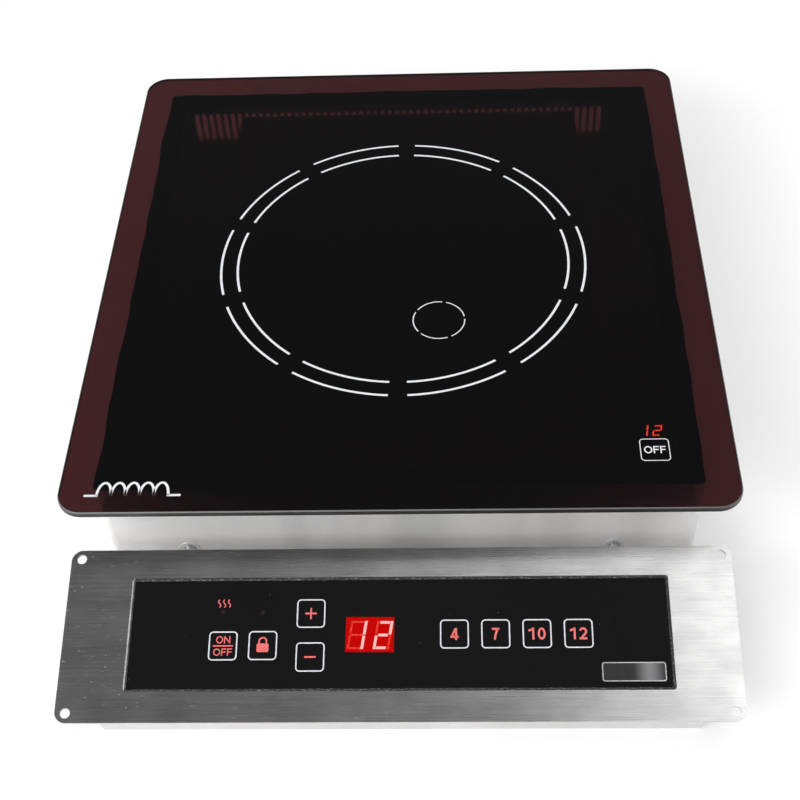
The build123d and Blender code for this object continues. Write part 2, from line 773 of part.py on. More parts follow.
# Heat sink: aluminium extrusion whose fins point at the vent slots
fin_pitch = (heat_sink_width - heat_sink_fin_thickness) / (heat_sink_fin_count - 1)
with BuildPart() as heat_sink:
    with BuildSketch(Plane.XY.offset(board_top + device_thickness)):
        with Locations((heat_sink_x, heat_sink_y)):
            Rectangle(heat_sink_width, heat_sink_length)
    extrude(amount=heat_sink_base)
    with BuildSketch(Plane.XY.offset(board_top + device_thickness + heat_sink_base)):
        with Locations((heat_sink_x, heat_sink_y)):
            with GridLocations(fin_pitch, fin_pitch, heat_sink_fin_count, 1):
                Rectangle(heat_sink_fin_thickness, heat_sink_length)
    extrude(amount=heat_sink_fin_height)
heat_sink.part.label = "heat_sink"

# Resonance capacitors: film capacitors in moulded boxes
with BuildPart() as resonance_capacitors:
    with BuildSketch(Plane.XY.offset(board_top)):
        for number in range(capacitor_count):
            with Locations((capacitor_x + capacitor_width / 2 + number * capacitor_spacing, capacitor_y)):
                Rectangle(capacitor_width, capacitor_length)
    extrude(amount=capacitor_height)
    fillet(resonance_capacitors.edges().filter_by(Axis.Z), radius=component_fillet)
resonance_capacitors.part.label = "resonance_capacitors"

# Filter capacitor: smooths the rectified mains, beside the resonance pair
filter_capacitor_x = capacitor_x + capacitor_width / 2 + capacitor_count * capacitor_spacing
with BuildPart() as filter_capacitor:
    with BuildSketch(Plane.XY.offset(board_top)):
        with Locations((filter_capacitor_x, capacitor_y)):
            Rectangle(capacitor_width, filter_capacitor_length)
    extrude(amount=filter_capacitor_height)
    fillet(filter_capacitor.edges().filter_by(Axis.Z), radius=component_fillet)
filter_capacitor.part.label = "filter_capacitor"

# Filter choke: ferrite core around a bobbin that shows at both ends
with BuildPart() as filter_choke:
    with BuildSketch(Plane.XY.offset(board_top)):
        with Locations((choke_x, choke_y)):
            Rectangle(choke_width, choke_length)
    extrude(amount=choke_height)
    with BuildSketch(Plane.XY.offset(board_top)):
        with Locations((choke_x, choke_y)):
            Rectangle(choke_width - 2 * choke_bobbin_margin, choke_length + 2 * choke_bobbin_margin)
    extrude(amount=choke_height - choke_bobbin_margin)
    fillet(filter_choke.edges().filter_by(Axis.Z), radius=component_fillet)
filter_choke.part.label = "filter_choke"

# Coil terminals: brass blocks that clamp the two ends of the coil
with BuildPart() as coil_terminals:
    with BuildSketch(Plane.XY.offset(board_top)):
        with Locations(inner_lead, outer_lead):
            Circle(terminal_radius)
    extrude(amount=terminal_height)
coil_terminals.part.label = "coil_terminals"

# Terminal block: screw terminals where the mains cable ends
with BuildPart() as terminal_block:
    with BuildSketch(Plane.XY.offset(sheet)):
        with Locations((terminal_block_x, terminal_block_y)):
            Rectangle(terminal_block_width, terminal_block_length)
    extrude(amount=terminal_block_height)
    with BuildSketch(Plane.XY.offset(sheet + terminal_block_height)):
        with Locations((terminal_block_x, terminal_block_y)):
            with GridLocations(
                terminal_block_width / terminal_pole_count, terminal_block_length, terminal_pole_count, 1
            ):
                Circle(terminal_screw_radius)
    extrude(amount=-terminal_screw_depth, mode=Mode.SUBTRACT)
terminal_block.part.label = "terminal_block"

# Earth stud: welded stud with its nut
with BuildPart() as earth_stud:
    with BuildSketch(Plane.XY.offset(sheet)):
        with Locations((earth_x, earth_y)):
            Circle(earth_stud_radius)
    extrude(amount=earth_stud_height)
    with BuildSketch(Plane.XY.offset(sheet)):
        with Locations((earth_x, earth_y)):
            RegularPolygon(earth_nut_radius, hexagon_side_count)
    extrude(amount=earth_nut_height)
earth_stud.part.label = "earth_stud"


# Cable glands: hexagon, rounded nose outside the wall and thread through it, bored for the cable
def cable_gland(face, wall, bore_radius, thread_radius, nose_length):
    grip = wall + gland_nut_height + gland_thread_end
    nose_radius = thread_radius + gland_nut_rim
    with BuildPart() as gland:
        with BuildSketch(face):
            Circle(thread_radius)
        extrude(amount=-grip)
        with BuildSketch(face):
            RegularPolygon(nose_radius, hexagon_side_count, major_radius=False)
        extrude(amount=gland_nut_height)
        with BuildSketch(face.offset(gland_nut_height)):
            Circle(nose_radius)
        extrude(amount=nose_length - gland_nut_height)
        with BuildSketch(face.offset(nose_length)):
            Circle(bore_radius)
        extrude(amount=-nose_length - grip, mode=Mode.SUBTRACT)
    return gland


# Gland nuts: hexagon nuts on the inside of the wall
def gland_nut(face, wall, thread_radius):
    with BuildPart() as nut:
        with BuildSketch(face.offset(-wall)):
            RegularPolygon(thread_radius + gland_nut_rim, hexagon_side_count, major_radius=False)
            Circle(thread_radius + thread_clearance, mode=Mode.SUBTRACT)
        extrude(amount=-gland_nut_height)
    return nut


mains_gland = cable_gland(
    mains_gland_face, sheet, mains_bore_radius, mains_thread_radius, mains_nose_length
)
mains_gland.part.label = "mains_gland"
control_gland = cable_gland(
    control_gland_face, tray_wall, control_bore_radius, control_thread_radius, control_nose_length
)
control_gland.part.label = "control_gland"
panel_gland = cable_gland(
    panel_gland_face, box_sheet, control_bore_radius, control_thread_radius, panel_nose_length
)
panel_gland.part.label = "panel_gland"
mains_gland_nut = gland_nut(mains_gland_face, sheet, mains_thread_radius)
mains_gland_nut.part.label = "mains_gland_nut"
control_gland_nut = gland_nut(control_gland_face, tray_wall, control_thread_radius)
control_gland_nut.part.label = "control_gland_nut"
panel_gland_nut = gland_nut(panel_gland_face, box_sheet, control_thread_radius)
panel_gland_nut.part.label = "panel_gland_nut"

# Key posts: pillars from the tray to the key board
with BuildPart() as key_posts:
    with BuildSketch(Plane.XY.offset(sheet)):
        with Locations((key_x, key_board_y)):
            with GridLocations(
                key_board_width - 2 * key_post_inset_x, key_board_length - 2 * key_post_inset_y, 2, 2
            ):
                Circle(key_post_radius)
    extrude(amount=key_board_bottom - sheet)
key_posts.part.label = "key_posts"

# Key board: small circuit board under the OFF key
with BuildPart() as key_board:
    with BuildSketch(Plane.XY.offset(key_board_bottom)):
        with Locations((key_x, key_board_y)):
            Rectangle(key_board_width, key_board_length)
    extrude(amount=board_thickness)
key_board.part.label = "key_board"

# Key display: two small red digits that shine through the glass
with BuildPart() as key_display:
    with BuildSketch(Plane.XY.offset(key_board_top)):
        with Locations((key_x, key_display_y)):
            Rectangle(key_display_width, key_display_length)
    extrude(amount=key_display_height)
key_display.part.label = "key_display"

# Key pad: conductive rubber between the key board and the glass
with BuildPart() as key_pad:
    with BuildSketch(Plane.XY.offset(key_board_top)):
        with Locations((key_x, key_y)):
            Circle(key_pad_radius)
    extrude(amount=key_pad_height)
key_pad.part.label = "key_pad"

# Panel bezel: steel sheet with a window and four corner holes
with BuildPart() as panel_bezel:
    with BuildSketch(panel_face.offset(-bezel_sheet)):
        RectangleRounded(bezel_width, bezel_height, bezel_corner_radius)
        RectangleRounded(window_width, window_height, window_corner_radius, mode=Mode.SUBTRACT)
        with GridLocations(
            bezel_width - 2 * bezel_hole_inset_x, bezel_height - 2 * bezel_hole_inset_y, 2, 2
        ):
            Circle(bezel_hole_radius, mode=Mode.SUBTRACT)
    extrude(amount=bezel_sheet)
panel_bezel.part.label = "panel_bezel"

# Panel seal: silicone bead between the window's edge and the touch glass
with BuildPart() as panel_seal:
    with BuildSketch(panel_face.offset(-bezel_sheet)):
        RectangleRounded(window_width, window_height, window_corner_radius)
        Rectangle(touch_glass_width, touch_glass_height, mode=Mode.SUBTRACT)
    extrude(amount=bezel_sheet - bead_recess)
panel_seal.part.label = "panel_seal"

# Touch glass: black glass printed with the keys, a little below the bezel's face
with BuildPart() as touch_glass:
    with BuildSketch(panel_face.offset(touch_glass_back)):
        Rectangle(touch_glass_width, touch_glass_height)
    extrude(amount=touch_glass_thickness)
touch_glass.part.label = "touch_glass"

# Glass carrier: moulded frame behind the bezel, with a rebate for the touch glass
carrier_opening_width = touch_glass_width + 2 * carrier_glass_clearance
carrier_opening_height = touch_glass_height + 2 * carrier_glass_clearance
with BuildPart() as glass_carrier:
    with BuildSketch(panel_face.offset(carrier_back)):
        Rectangle(
            carrier_opening_width + 2 * carrier_frame_width, carrier_opening_height + 2 * carrier_frame_width
        )
        Rectangle(
            touch_glass_width - 2 * carrier_lip, touch_glass_height - 2 * carrier_lip, mode=Mode.SUBTRACT
        )
    extrude(amount=-bezel_sheet - carrier_back)
    with BuildSketch(panel_face.offset(touch_glass_back)):
        Rectangle(carrier_opening_width, carrier_opening_height)
    extrude(amount=-bezel_sheet - touch_glass_back, mode=Mode.SUBTRACT)
glass_carrier.part.label = "glass_carrier"

# Board spacers: hold the control board behind the glass carrier
with BuildPart() as board_spacers:
    with BuildSketch(panel_face.offset(control_board_front)):
        with GridLocations(
            control_board_width - 2 * spacer_inset_x, control_board_height - 2 * spacer_inset_y, 2, 2
        ):
            Circle(spacer_radius)
    extrude(amount=spacer_height)
board_spacers.part.label = "board_spacers"

# Control board: circuit board of the panel
with BuildPart() as control_board:
    with BuildSketch(panel_face.offset(control_board_back)):
        Rectangle(control_board_width, control_board_height)
    extrude(amount=board_thickness)
control_board.part.label = "control_board"

# Touch pads: one conductive rubber pad behind each printed key
key_places = [
    (power_key_u, power_key_v),
    (lock_key_u, power_key_v),
    (step_key_u, plus_key_v),
    (step_key_u, minus_key_v),
]
key_places += [(first_key_u + key_pitch * number, key_row_v) for number in range(preset_key_count)]
with BuildPart() as touch_pads:
    with BuildSketch(panel_face.offset(control_board_front)):
        with Locations(*key_places):
            Circle(touch_pad_radius)
    extrude(amount=touch_glass_back - control_board_front)
touch_pads.part.label = "touch_pads"

# Display module: two large red digits
with BuildPart() as display_module:
    with BuildSketch(panel_face.offset(control_board_front)):
        with Locations((display_u, display_v)):
            Rectangle(display_width, display_height)
    extrude(amount=display_depth)
display_module.part.label = "display_module"

# Indicator lamps: small round lamps above the two left keys
with BuildPart() as indicator_lamps:
    with BuildSketch(panel_face.offset(control_board_front)):
        with Locations((power_key_u, lamp_v), (lock_key_u, lamp_v)):
            Circle(lamp_radius)
    extrude(amount=lamp_height)
    panel_normal = Axis(panel_face.origin, panel_face.z_dir)
    lamp_rims = indicator_lamps.edges().filter_by(GeomType.CIRCLE).group_by(panel_normal)[-1]
    fillet(lamp_rims, radius=lamp_radius / 2)
indicator_lamps.part.label = "indicator_lamps"

# Control chip: on the back of the control board
with BuildPart() as control_chip:
    with BuildSketch(panel_face.offset(control_board_back)):
        with Locations((chip_u, 0)):
            Rectangle(chip_size, chip_size)
    extrude(amount=-chip_thickness)
control_chip.part.label = "control_chip"

# Board connector: where the control cable plugs into the control board
with BuildPart() as board_connector:
    with BuildSketch(panel_face.offset(control_board_back)):
        with Locations((connector_u, 0)):
            Rectangle(connector_width, connector_height)
    extrude(amount=-connector_depth)
board_connector.part.label = "board_connector"

# Panel box: steel box welded to the back of the bezel
with BuildPart() as panel_box:
    with BuildSketch(panel_face.offset(-bezel_sheet)):
        Rectangle(box_width, box_height)
    extrude(amount=-box_depth)
    with BuildSketch(panel_face.offset(-bezel_sheet)):
        Rectangle(box_width - 2 * box_sheet, box_height - 2 * box_sheet)
    extrude(amount=-box_depth + box_sheet, mode=Mode.SUBTRACT)
    with BuildSketch(panel_gland_face):
        Circle(control_thread_radius + screw_clearance)
    extrude(amount=-box_sheet, mode=Mode.SUBTRACT)
panel_box.part.label = "panel_box"


def least_gap(path, wire_radius, samples):
    """Smallest space between stretches of one wire that lie more than four diameters apart along it."""
    points = []
    travelled = 0.0
    for edge in path.edges():
        for step in range(samples):
            points.append((tuple(edge.position_at(step / samples)), travelled + edge.length * step / samples))
        travelled += edge.length
    apart = 8 * wire_radius
    nearest = min(
        math.dist(first, second)
        for index, (first, first_way) in enumerate(points)
        for second, second_way in points[index + 1 :]
        if second_way - first_way > apart
    )
    return nearest - 2 * wire_radius, travelled


for name, piece, path, wire_radius, samples in (
    ("induction_coil", induction_coil, coil_path, coil_wire_radius, 24),
    ("sensor_spring", sensor_spring, spring_path, spring_wire_radius, 6),
):
    gap, length = least_gap(path, wire_radius, samples)
    section = math.pi * wire_radius**2
    share = piece.part.volume / (section * length)
    print(f"{name}: length {length:.0f}, least gap {gap:.2f}, volume over section times length {share:.4f}")

pieces = (
    glass_plate, glass_seal, housing_shell, base_tray, housing_screws, coil_posts, coil_bridge, bridge_screws,
    ferrite_bars, coil_carrier, induction_coil, mica_sheet, insulation_pad, sensor_holder, sensor_cap,
    sensor_spring, fan_frame, fan_rotor, fan_screws, board_standoffs, power_board, power_transistors,
    bridge_rectifier, heat_sink, resonance_capacitors, filter_capacitor, filter_choke, coil_terminals,
    terminal_block, earth_stud, mains_gland, mains_gland_nut, control_gland, control_gland_nut, key_posts,
    key_board, key_display, key_pad, panel_bezel, panel_seal, touch_glass, glass_carrier, board_spacers,
    control_board, touch_pads, display_module, indicator_lamps, control_chip, board_connector, panel_box,
    panel_gland, panel_gland_nut,
)
os.makedirs("parts", exist_ok=True)
for piece in pieces:
    export_step(piece.part, f"parts/{piece.part.label}.step")
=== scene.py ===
import math

import bmesh
import bpy
from mathutils import Matrix, Vector, noise


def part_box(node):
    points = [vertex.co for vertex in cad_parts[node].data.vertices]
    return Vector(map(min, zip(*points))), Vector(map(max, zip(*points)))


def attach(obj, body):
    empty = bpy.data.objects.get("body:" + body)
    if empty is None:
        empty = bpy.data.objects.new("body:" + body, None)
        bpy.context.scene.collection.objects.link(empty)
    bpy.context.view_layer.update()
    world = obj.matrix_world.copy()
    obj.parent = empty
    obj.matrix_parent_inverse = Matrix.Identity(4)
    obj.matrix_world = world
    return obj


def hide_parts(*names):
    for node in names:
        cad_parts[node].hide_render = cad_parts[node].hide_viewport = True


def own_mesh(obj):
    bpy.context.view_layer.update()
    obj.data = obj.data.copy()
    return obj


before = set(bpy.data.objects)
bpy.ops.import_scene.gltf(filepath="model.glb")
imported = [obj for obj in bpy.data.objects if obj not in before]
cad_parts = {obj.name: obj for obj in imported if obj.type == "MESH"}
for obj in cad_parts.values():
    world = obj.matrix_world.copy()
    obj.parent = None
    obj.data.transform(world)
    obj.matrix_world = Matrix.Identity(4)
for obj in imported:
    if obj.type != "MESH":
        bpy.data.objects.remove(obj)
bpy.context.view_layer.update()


# Base tray, housing shell and panel box: folded boxes of satin zinc-coated sheet steel, closed by
# screws. The coating has a fine speckle and soft upright bands. Its colour is made paler at the left
# front end, which is painted light, as from strong light on that side.
class Tone:
    """A value, colour or place inside a finish. Sums on it add shader nodes."""

    def __init__(self, socket):
        self.socket = socket

    def node(self, kind, settings, inputs, output=0):
        """Adds a node of that kind, sets it up, fills its sockets and gives one of its outputs."""
        tree = self.socket.id_data
        made = tree.nodes.new("ShaderNode" + kind)
        for setting, value in settings.items():
            setattr(made, setting, value)
        for name, value in inputs.items():
            fill(made.inputs[name], value)
        return Tone(made.outputs[output])

    def sum(self, operation, first, second):
        return self.node("Math", {"operation": operation}, {0: first, 1: second})

    def __add__(self, other):
        return self.sum("ADD", self, other)

    def __sub__(self, other):
        return self.sum("SUBTRACT", self, other)

    def __rsub__(self, other):
        return self.sum("SUBTRACT", other, self)

    def __mul__(self, other):
        return self.sum("MULTIPLY", self, other)

    def __abs__(self):
        return self.sum("ABSOLUTE", self, 0.0)

    __radd__ = __add__
    __rmul__ = __mul__

    def along(self, axis):
        """One coordinate of a place."""
        return self.node("SeparateXYZ", {}, {"Vector": self}, axis)

    def fade(self, start, end):
        """0 up to start, 1 from end on, and smooth between."""
        limits = {"Value": self, "From Min": start, "From Max": end}
        return self.node("MapRange", {"interpolation_type": "SMOOTHSTEP"}, limits)

    def between(self, low, high):
        """A value that is low where this is 0 and high where it is 1."""
        return low + (high - low) * self

    def blend(self, low, high):
        """The low colour where this is 0 and the high one where it is 1."""
        factor, first, second, result = 0, 6, 7, 2
        return self.node("Mix", {"data_type": "RGBA"}, {factor: self, first: low, second: high}, result)

    def grain(self, lengths, detail=2.0):
        """Noise over a place, with lumps about as long as the given lengths along X, Y and Z."""
        stretched = self.node("VectorMath", {"operation": "DIVIDE"}, {0: self, 1: lengths})
        return self.node("TexNoise", {}, {"Vector": stretched, "Scale": 1.0, "Detail": detail})

    def relief(self, depth):
        """The normal of a surface that rises by depth where this is 1."""
        return self.node("Bump", {}, {"Height": self, "Distance": depth})


def fill(socket, value):
    """Links a tone to a socket, or sets the socket to a number, colour or vector."""
    if isinstance(value, Tone):
        socket.id_data.links.new(value.socket, socket)
    elif socket.type == "RGBA":
        socket.default_value = (*value, 1.0)
    else:
        socket.default_value = value


def feed(shader, values):
    """Fills some of a shader's sockets by name."""
    for name, value in values.items():
        fill(shader.inputs[name], value)


def new_finish(name, fixed):
    """A material and its shader with some sockets set, and the place on the piece it covers."""
    material = bpy.data.materials.new(name)
    material.use_nodes = True
    shader = material.node_tree.nodes["Principled BSDF"]
    feed(shader, fixed)
    place = material.node_tree.nodes.new("ShaderNodeTexCoord")
    return material, shader, Tone(place.outputs["Object"])


def dress(material, *nodes):
    """Gives CAD nodes a finish."""
    for name in nodes:
        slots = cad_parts[name].data.materials
        slots.clear()
        slots.append(material)


sheet_pale = (0.88, 0.87, 0.86)
sheet_dull = (0.75, 0.745, 0.74)
sheet_light_x = (-0.095, -0.035)
sheet_light_y = (-0.168, -0.060)
box_pale = (0.75, 0.74, 0.735)
box_dull = (0.67, 0.665, 0.66)
sheet_speckle = (0.0007, 0.0007, 0.0007)
sheet_band = (0.035, 0.035, 0.25)
sheet_metal = 0.35
sheet_gloss = (0.34, 0.54)
band_share = 0.75
shade_limits = (0.35, 0.6)
painted_light_share = 0.8
speckle_depth = 0.00001


def satin_sheet(name, dull, pale):
    """Satin coated sheet between two greys, with painted light at its left front end."""
    material, shader, place = new_finish(name, {"Metallic": sheet_metal})
    speckle = place.grain(sheet_speckle)
    band = place.grain(sheet_band)
    # Painted light: the sheet's colour is made paler towards its left front end.
    lit_left_end = 1 - place.along("X").fade(*sheet_light_x)
    painted_light = lit_left_end * (1 - place.along("Y").fade(*sheet_light_y))
    shade = (band_share * band + (1 - band_share) * speckle).fade(*shade_limits) + painted_light_share * painted_light
    feed(
        shader,
        {
            "Base Color": shade.blend(dull, pale),
            "Roughness": speckle.between(*sheet_gloss),
            "Normal": speckle.relief(speckle_depth),
        },
    )
    return material


satin_steel = satin_sheet("satin_steel", sheet_dull, sheet_pale)
dress(satin_steel, "base_tray", "housing_shell")
dress(satin_sheet("box_steel", box_dull, box_pale), "panel_box")

# Screws: zinc plated steel, bright with a faint blue cast. They cut their own threads, and those of
# the front and side walls bear on dished washers.
zinc_bright = (0.74, 0.75, 0.78)
zinc_dull = (0.50, 0.51, 0.53)
zinc_spangle = (0.0012, 0.0012, 0.0012)
zinc_gloss = (0.18, 0.36)
grain_limits = (0.3, 0.7)
washer_radius = 0.0064
washer_hole = 0.0037
washer_lip = 0.0007
washer_rise = 0.0006
washer_dish = 0.0002
washer_steps = 48
front_screw_reach = 0.118
side_screw_reach = 0.110
wall_screw_height = 0.0245


def grained(name, low, high, lengths, gloss, depth, metallic=0.0, detail=2.0):
    """A finish with grain, between two colours and two roughnesses, raised by a fine depth."""
    material, shader, place = new_finish(name, {"Metallic": metallic})
    grain = place.grain(lengths, detail)
    feed(
        shader,
        {
            "Base Color": grain.fade(*grain_limits).blend(low, high),
            "Roughness": grain.between(*gloss),
            "Normal": grain.relief(depth),
        },
    )
    return material


def new_piece(name, sheet, material, body, plane=Matrix()):
    """Turns faces that were built on a plane into a piece that rides on a body."""
    sheet.transform(plane)
    bmesh.ops.recalc_face_normals(sheet, faces=sheet.faces)
    mesh = bpy.data.meshes.new(name)
    sheet.to_mesh(mesh)
    sheet.free()
    mesh.materials.append(material)
    piece = bpy.data.objects.new(name, mesh)
    bpy.context.scene.collection.objects.link(piece)
    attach(piece, body)
    return piece


def ring_of(sheet, sections, closed=True):
    """Joins cross sections, one after another, into a closed ring, or into a bar with two ends."""
    rows = [[sheet.verts.new(point) for point in section] for section in sections]
    if not closed:
        sheet.faces.new(rows[0])
        sheet.faces.new(rows[-1])
    for row, following in zip(rows, rows[1:] + (rows[:1] if closed else [])):
        for here in range(len(row)):
            there = (here + 1) % len(row)
            sheet.faces.new((row[here], row[there], following[there], following[here]))


zinc_plate = grained(
    "zinc_plate", zinc_dull, zinc_bright, zinc_spangle, zinc_gloss, speckle_depth, metallic=1.0
)
dress(zinc_plate, "housing_screws", "bridge_screws", "fan_screws")
shell_low, shell_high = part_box("housing_shell")
upward = Vector((0.0, 0.0, 1.0))
seats = []
for side in (-1, 1):
    front_seat = Vector((side * front_screw_reach, shell_low.y, wall_screw_height))
    seats.append((front_seat, Vector((0.0, -1.0, 0.0))))
    wall_x = shell_high.x if side > 0 else shell_low.x
    for end in (-1, 1):
        side_seat = Vector((wall_x, end * side_screw_reach, wall_screw_height))
        seats.append((side_seat, Vector((side, 0.0, 0.0))))
washer_profile = (
    (washer_hole, 0.0),
    (washer_radius, 0.0),
    (washer_radius, washer_rise / 2),
    (washer_radius - washer_lip / 2, washer_rise),
    (washer_radius - washer_lip, washer_rise / 2),
    (washer_hole, washer_dish),
)
sheet = bmesh.new()
for seat, out in seats:
    across = out.cross(upward)
    sections = []
    for step in range(washer_steps):
        angle = 2 * math.pi * step / washer_steps
        spoke = math.cos(angle) * across + math.sin(angle) * upward
        sections.append([seat + spoke * radius + out * rise for radius, rise in washer_profile])
    ring_of(sheet, sections)
new_piece("screw_washers", sheet, satin_steel, "hob")

# Probe spring: a helix of zinc plated wire that stands on the probe's holder and keeps its cap
# against the glass. It shortens as the cap is pushed down.
spring_low, spring_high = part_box("sensor_spring")
spring_wire = 0.00035
spring_turns = 5
turn_steps = 32
wire_sides = 12
spring_radius = (spring_high.x - spring_low.x) / 2 - spring_wire
spring_middle = (spring_low + spring_high) / 2
spring_foot = Vector((spring_middle.x, spring_middle.y, spring_low.z))
spring_rise = spring_high.z - spring_low.z - 2 * spring_wire
sections = []
for step in range(spring_turns * turn_steps + 1):
    angle = 2 * math.pi * step / turn_steps
    spoke = Vector((math.cos(angle), math.sin(angle), 0.0))
    climb = spring_wire + spring_rise * step / (spring_turns * turn_steps)
    heart = spring_foot + spring_radius * spoke + climb * upward
    section = []
    for side in range(wire_sides):
        turn = 2 * math.pi * side / wire_sides
        section.append(heart + spring_wire * (math.cos(turn) * spoke + math.sin(turn) * upward))
    sections.append(section)
sheet = bmesh.new()
ring_of(sheet, sections, closed=False)
probe_spring = new_piece("probe_spring", sheet, zinc_plate, "hob")
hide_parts("sensor_spring")
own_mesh(probe_spring)

# Fan, standoffs, transistors, rectifier, chip and glass carrier: moulded black plastic with the
# fine spark grain of its mould. They are screwed, clipped or soldered in place.
plastic_black = (0.012, 0.012, 0.013)
plastic_worn = (0.030, 0.030, 0.032)
plastic_gloss = (0.38, 0.58)
mould_grain = (0.0004, 0.0004, 0.0004)
mould_depth = 0.00004
black_plastic = grained(
    "black_plastic", plastic_black, plastic_worn, mould_grain, plastic_gloss, mould_depth
)
dress(black_plastic, "fan_frame", "fan_rotor", "board_standoffs", "power_transistors")
dress(black_plastic, "bridge_rectifier", "control_chip", "glass_carrier")

# Circuit boards: glass fibre laminate under green solder mask, with copper tracks that show as
# lighter lanes. The boards stand on spacers and posts.
mask_green = (0.010, 0.075, 0.028)
track_green = (0.030, 0.150, 0.055)
track_pitch = 0.0025
laminate_weave = (0.0009, 0.0009, 0.0009)
lane_share = 0.8
lane_offset = 0.5
lane_squash = 0.6
lane_gap = 0.012
lane_blur = 0.4
bricks_per_scale = 0.1
board_gloss = 0.30
track_depth = 0.00004
circuit_board, shader, place = new_finish("circuit_board", {"Roughness": board_gloss})
lanes = place.node(
    "TexBrick",
    {"offset": lane_offset, "squash": lane_squash},
    {
        "Vector": place,
        "Scale": bricks_per_scale / track_pitch,
        "Mortar Size": lane_gap,
        "Mortar Smooth": lane_blur,
    },
    "Fac",
)
weave = place.grain(laminate_weave)
feed(
    shader,
    {
        "Base Color": (lane_share * lanes + (1 - lane_share) * weave).blend(track_green, mask_green),
        "Normal": (1 - lanes).relief(track_depth),
    },
)
dress(circuit_board, "power_board", "key_board", "control_board")

# Heat sink, coil bridge, posts and probe cap: mill finish aluminium, extruded, cut or turned.
# The draw lines of the extrusion run from front to back.
aluminium_bright = (0.80, 0.81, 0.82)
aluminium_dull = (0.58, 0.59, 0.60)
draw_lines = (0.0003, 0.06, 0.0003)
mill_gloss = (0.30, 0.48)
mill_aluminium = grained(
    "mill_aluminium", aluminium_dull, aluminium_bright, draw_lines, mill_gloss, speckle_depth, metallic=1.0
)
dress(mill_aluminium, "heat_sink", "coil_bridge", "coil_posts", "sensor_cap")

# Capacitors: film capacitors potted with resin in moulded ochre boxes, soldered to the power board
# by their leads.
box_ochre = (0.52, 0.30, 0.05)
box_ochre_worn = (0.62, 0.40, 0.10)
box_gloss = (0.32, 0.48)
potted_box = grained("potted_box", box_ochre, box_ochre_worn, mould_grain, box_gloss, mould_depth)
dress(potted_box, "resonance_capacitors", "filter_capacitor")

# Ferrite bars and choke core: pressed and sintered, dull grey-black with open pores. The bars lie
# in the carrier's spokes under the coil.
ferrite_dark = (0.020, 0.019, 0.020)
ferrite_pale = (0.065, 0.062, 0.064)
ferrite_pores = (0.0006, 0.0006, 0.0006)
ferrite_gloss = (0.55, 0.80)
pore_depth = 0.00008
sintered_ferrite = grained(
    "sintered_ferrite", ferrite_dark, ferrite_pale, ferrite_pores, ferrite_gloss, pore_depth, detail=4.0
)
dress(sintered_ferrite, "ferrite_bars", "filter_choke")

# Terminal block, key posts, board spacers and connector: moulded pale plastic, screwed or pushed
# into the sheet and the boards.
plastic_pale = (0.62, 0.60, 0.54)
plastic_cream = (0.70, 0.68, 0.62)
pale_gloss = (0.40, 0.56)
pale_plastic = grained("pale_plastic", plastic_pale, plastic_cream, mould_grain, pale_gloss, mould_depth)
dress(pale_plastic, "terminal_block", "key_posts", "board_spacers", "board_connector")

# Coil terminals and earth stud: turned brass with fine tool marks round the axis, screwed to the
# board and the tray.
brass_bright = (0.78, 0.57, 0.22)
brass_dull = (0.52, 0.36, 0.13)
tool_marks = (0.02, 0.02, 0.0002)
brass_gloss = (0.22, 0.42)
turned_brass = grained(
    "turned_brass", brass_dull, brass_bright, tool_marks, brass_gloss, speckle_depth, metallic=1.0
)
dress(turned_brass, "coil_terminals", "earth_stud")

# Cable glands and their nuts: moulded black nylon, a little glossy, screwed through the walls and
# closed by a domed cap.
nylon_black = (0.014, 0.014, 0.015)
nylon_grey = (0.028, 0.028, 0.030)
nylon_gloss = (0.26, 0.42)
gland_nylon = grained("gland_nylon", nylon_black, nylon_grey, mould_grain, nylon_gloss, mould_depth)
dress(gland_nylon, "mains_gland", "mains_gland_nut", "control_gland", "control_gland_nut")
dress(gland_nylon, "panel_gland", "panel_gland_nut")

# Coil carrier and probe holder: dark thermoset filled with glass fibre, matt and slightly mottled,
# moulded in one piece each.
thermoset_dark = (0.020, 0.017, 0.015)
thermoset_fibre = (0.050, 0.044, 0.040)
fibre_length = (0.0020, 0.0004, 0.0006)
thermoset_gloss = (0.52, 0.72)
filled_thermoset = grained(
    "filled_thermoset", thermoset_dark, thermoset_fibre, fibre_length, thermoset_gloss, mould_depth
)
dress(filled_thermoset, "coil_carrier", "sensor_holder")

# Induction coil: one bundle of fine enamelled copper strands, twisted and wound flat in two rings
# on the carrier.
strand_bright = (0.70, 0.29, 0.12)
strand_dark = (0.30, 0.10, 0.04)
strand_pitch = 0.0007
strand_wander = 1.5
bands_per_scale = 20
strand_metal = 0.9
strand_gloss = 0.34
strand_depth = 0.0001
twisted_copper, shader, place = new_finish(
    "twisted_copper", {"Metallic": strand_metal, "Roughness": strand_gloss}
)
twist = place.node(
    "TexWave",
    {"bands_direction": "DIAGONAL"},
    {
        "Vector": place,
        "Scale": 1 / (bands_per_scale * strand_pitch),
        "Distortion": strand_wander,
        "Detail": 1.0,
    },
    "Fac",
)
feed(shader, {"Base Color": twist.blend(strand_dark, strand_bright), "Normal": twist.relief(strand_depth)})
dress(twisted_copper, "induction_coil")

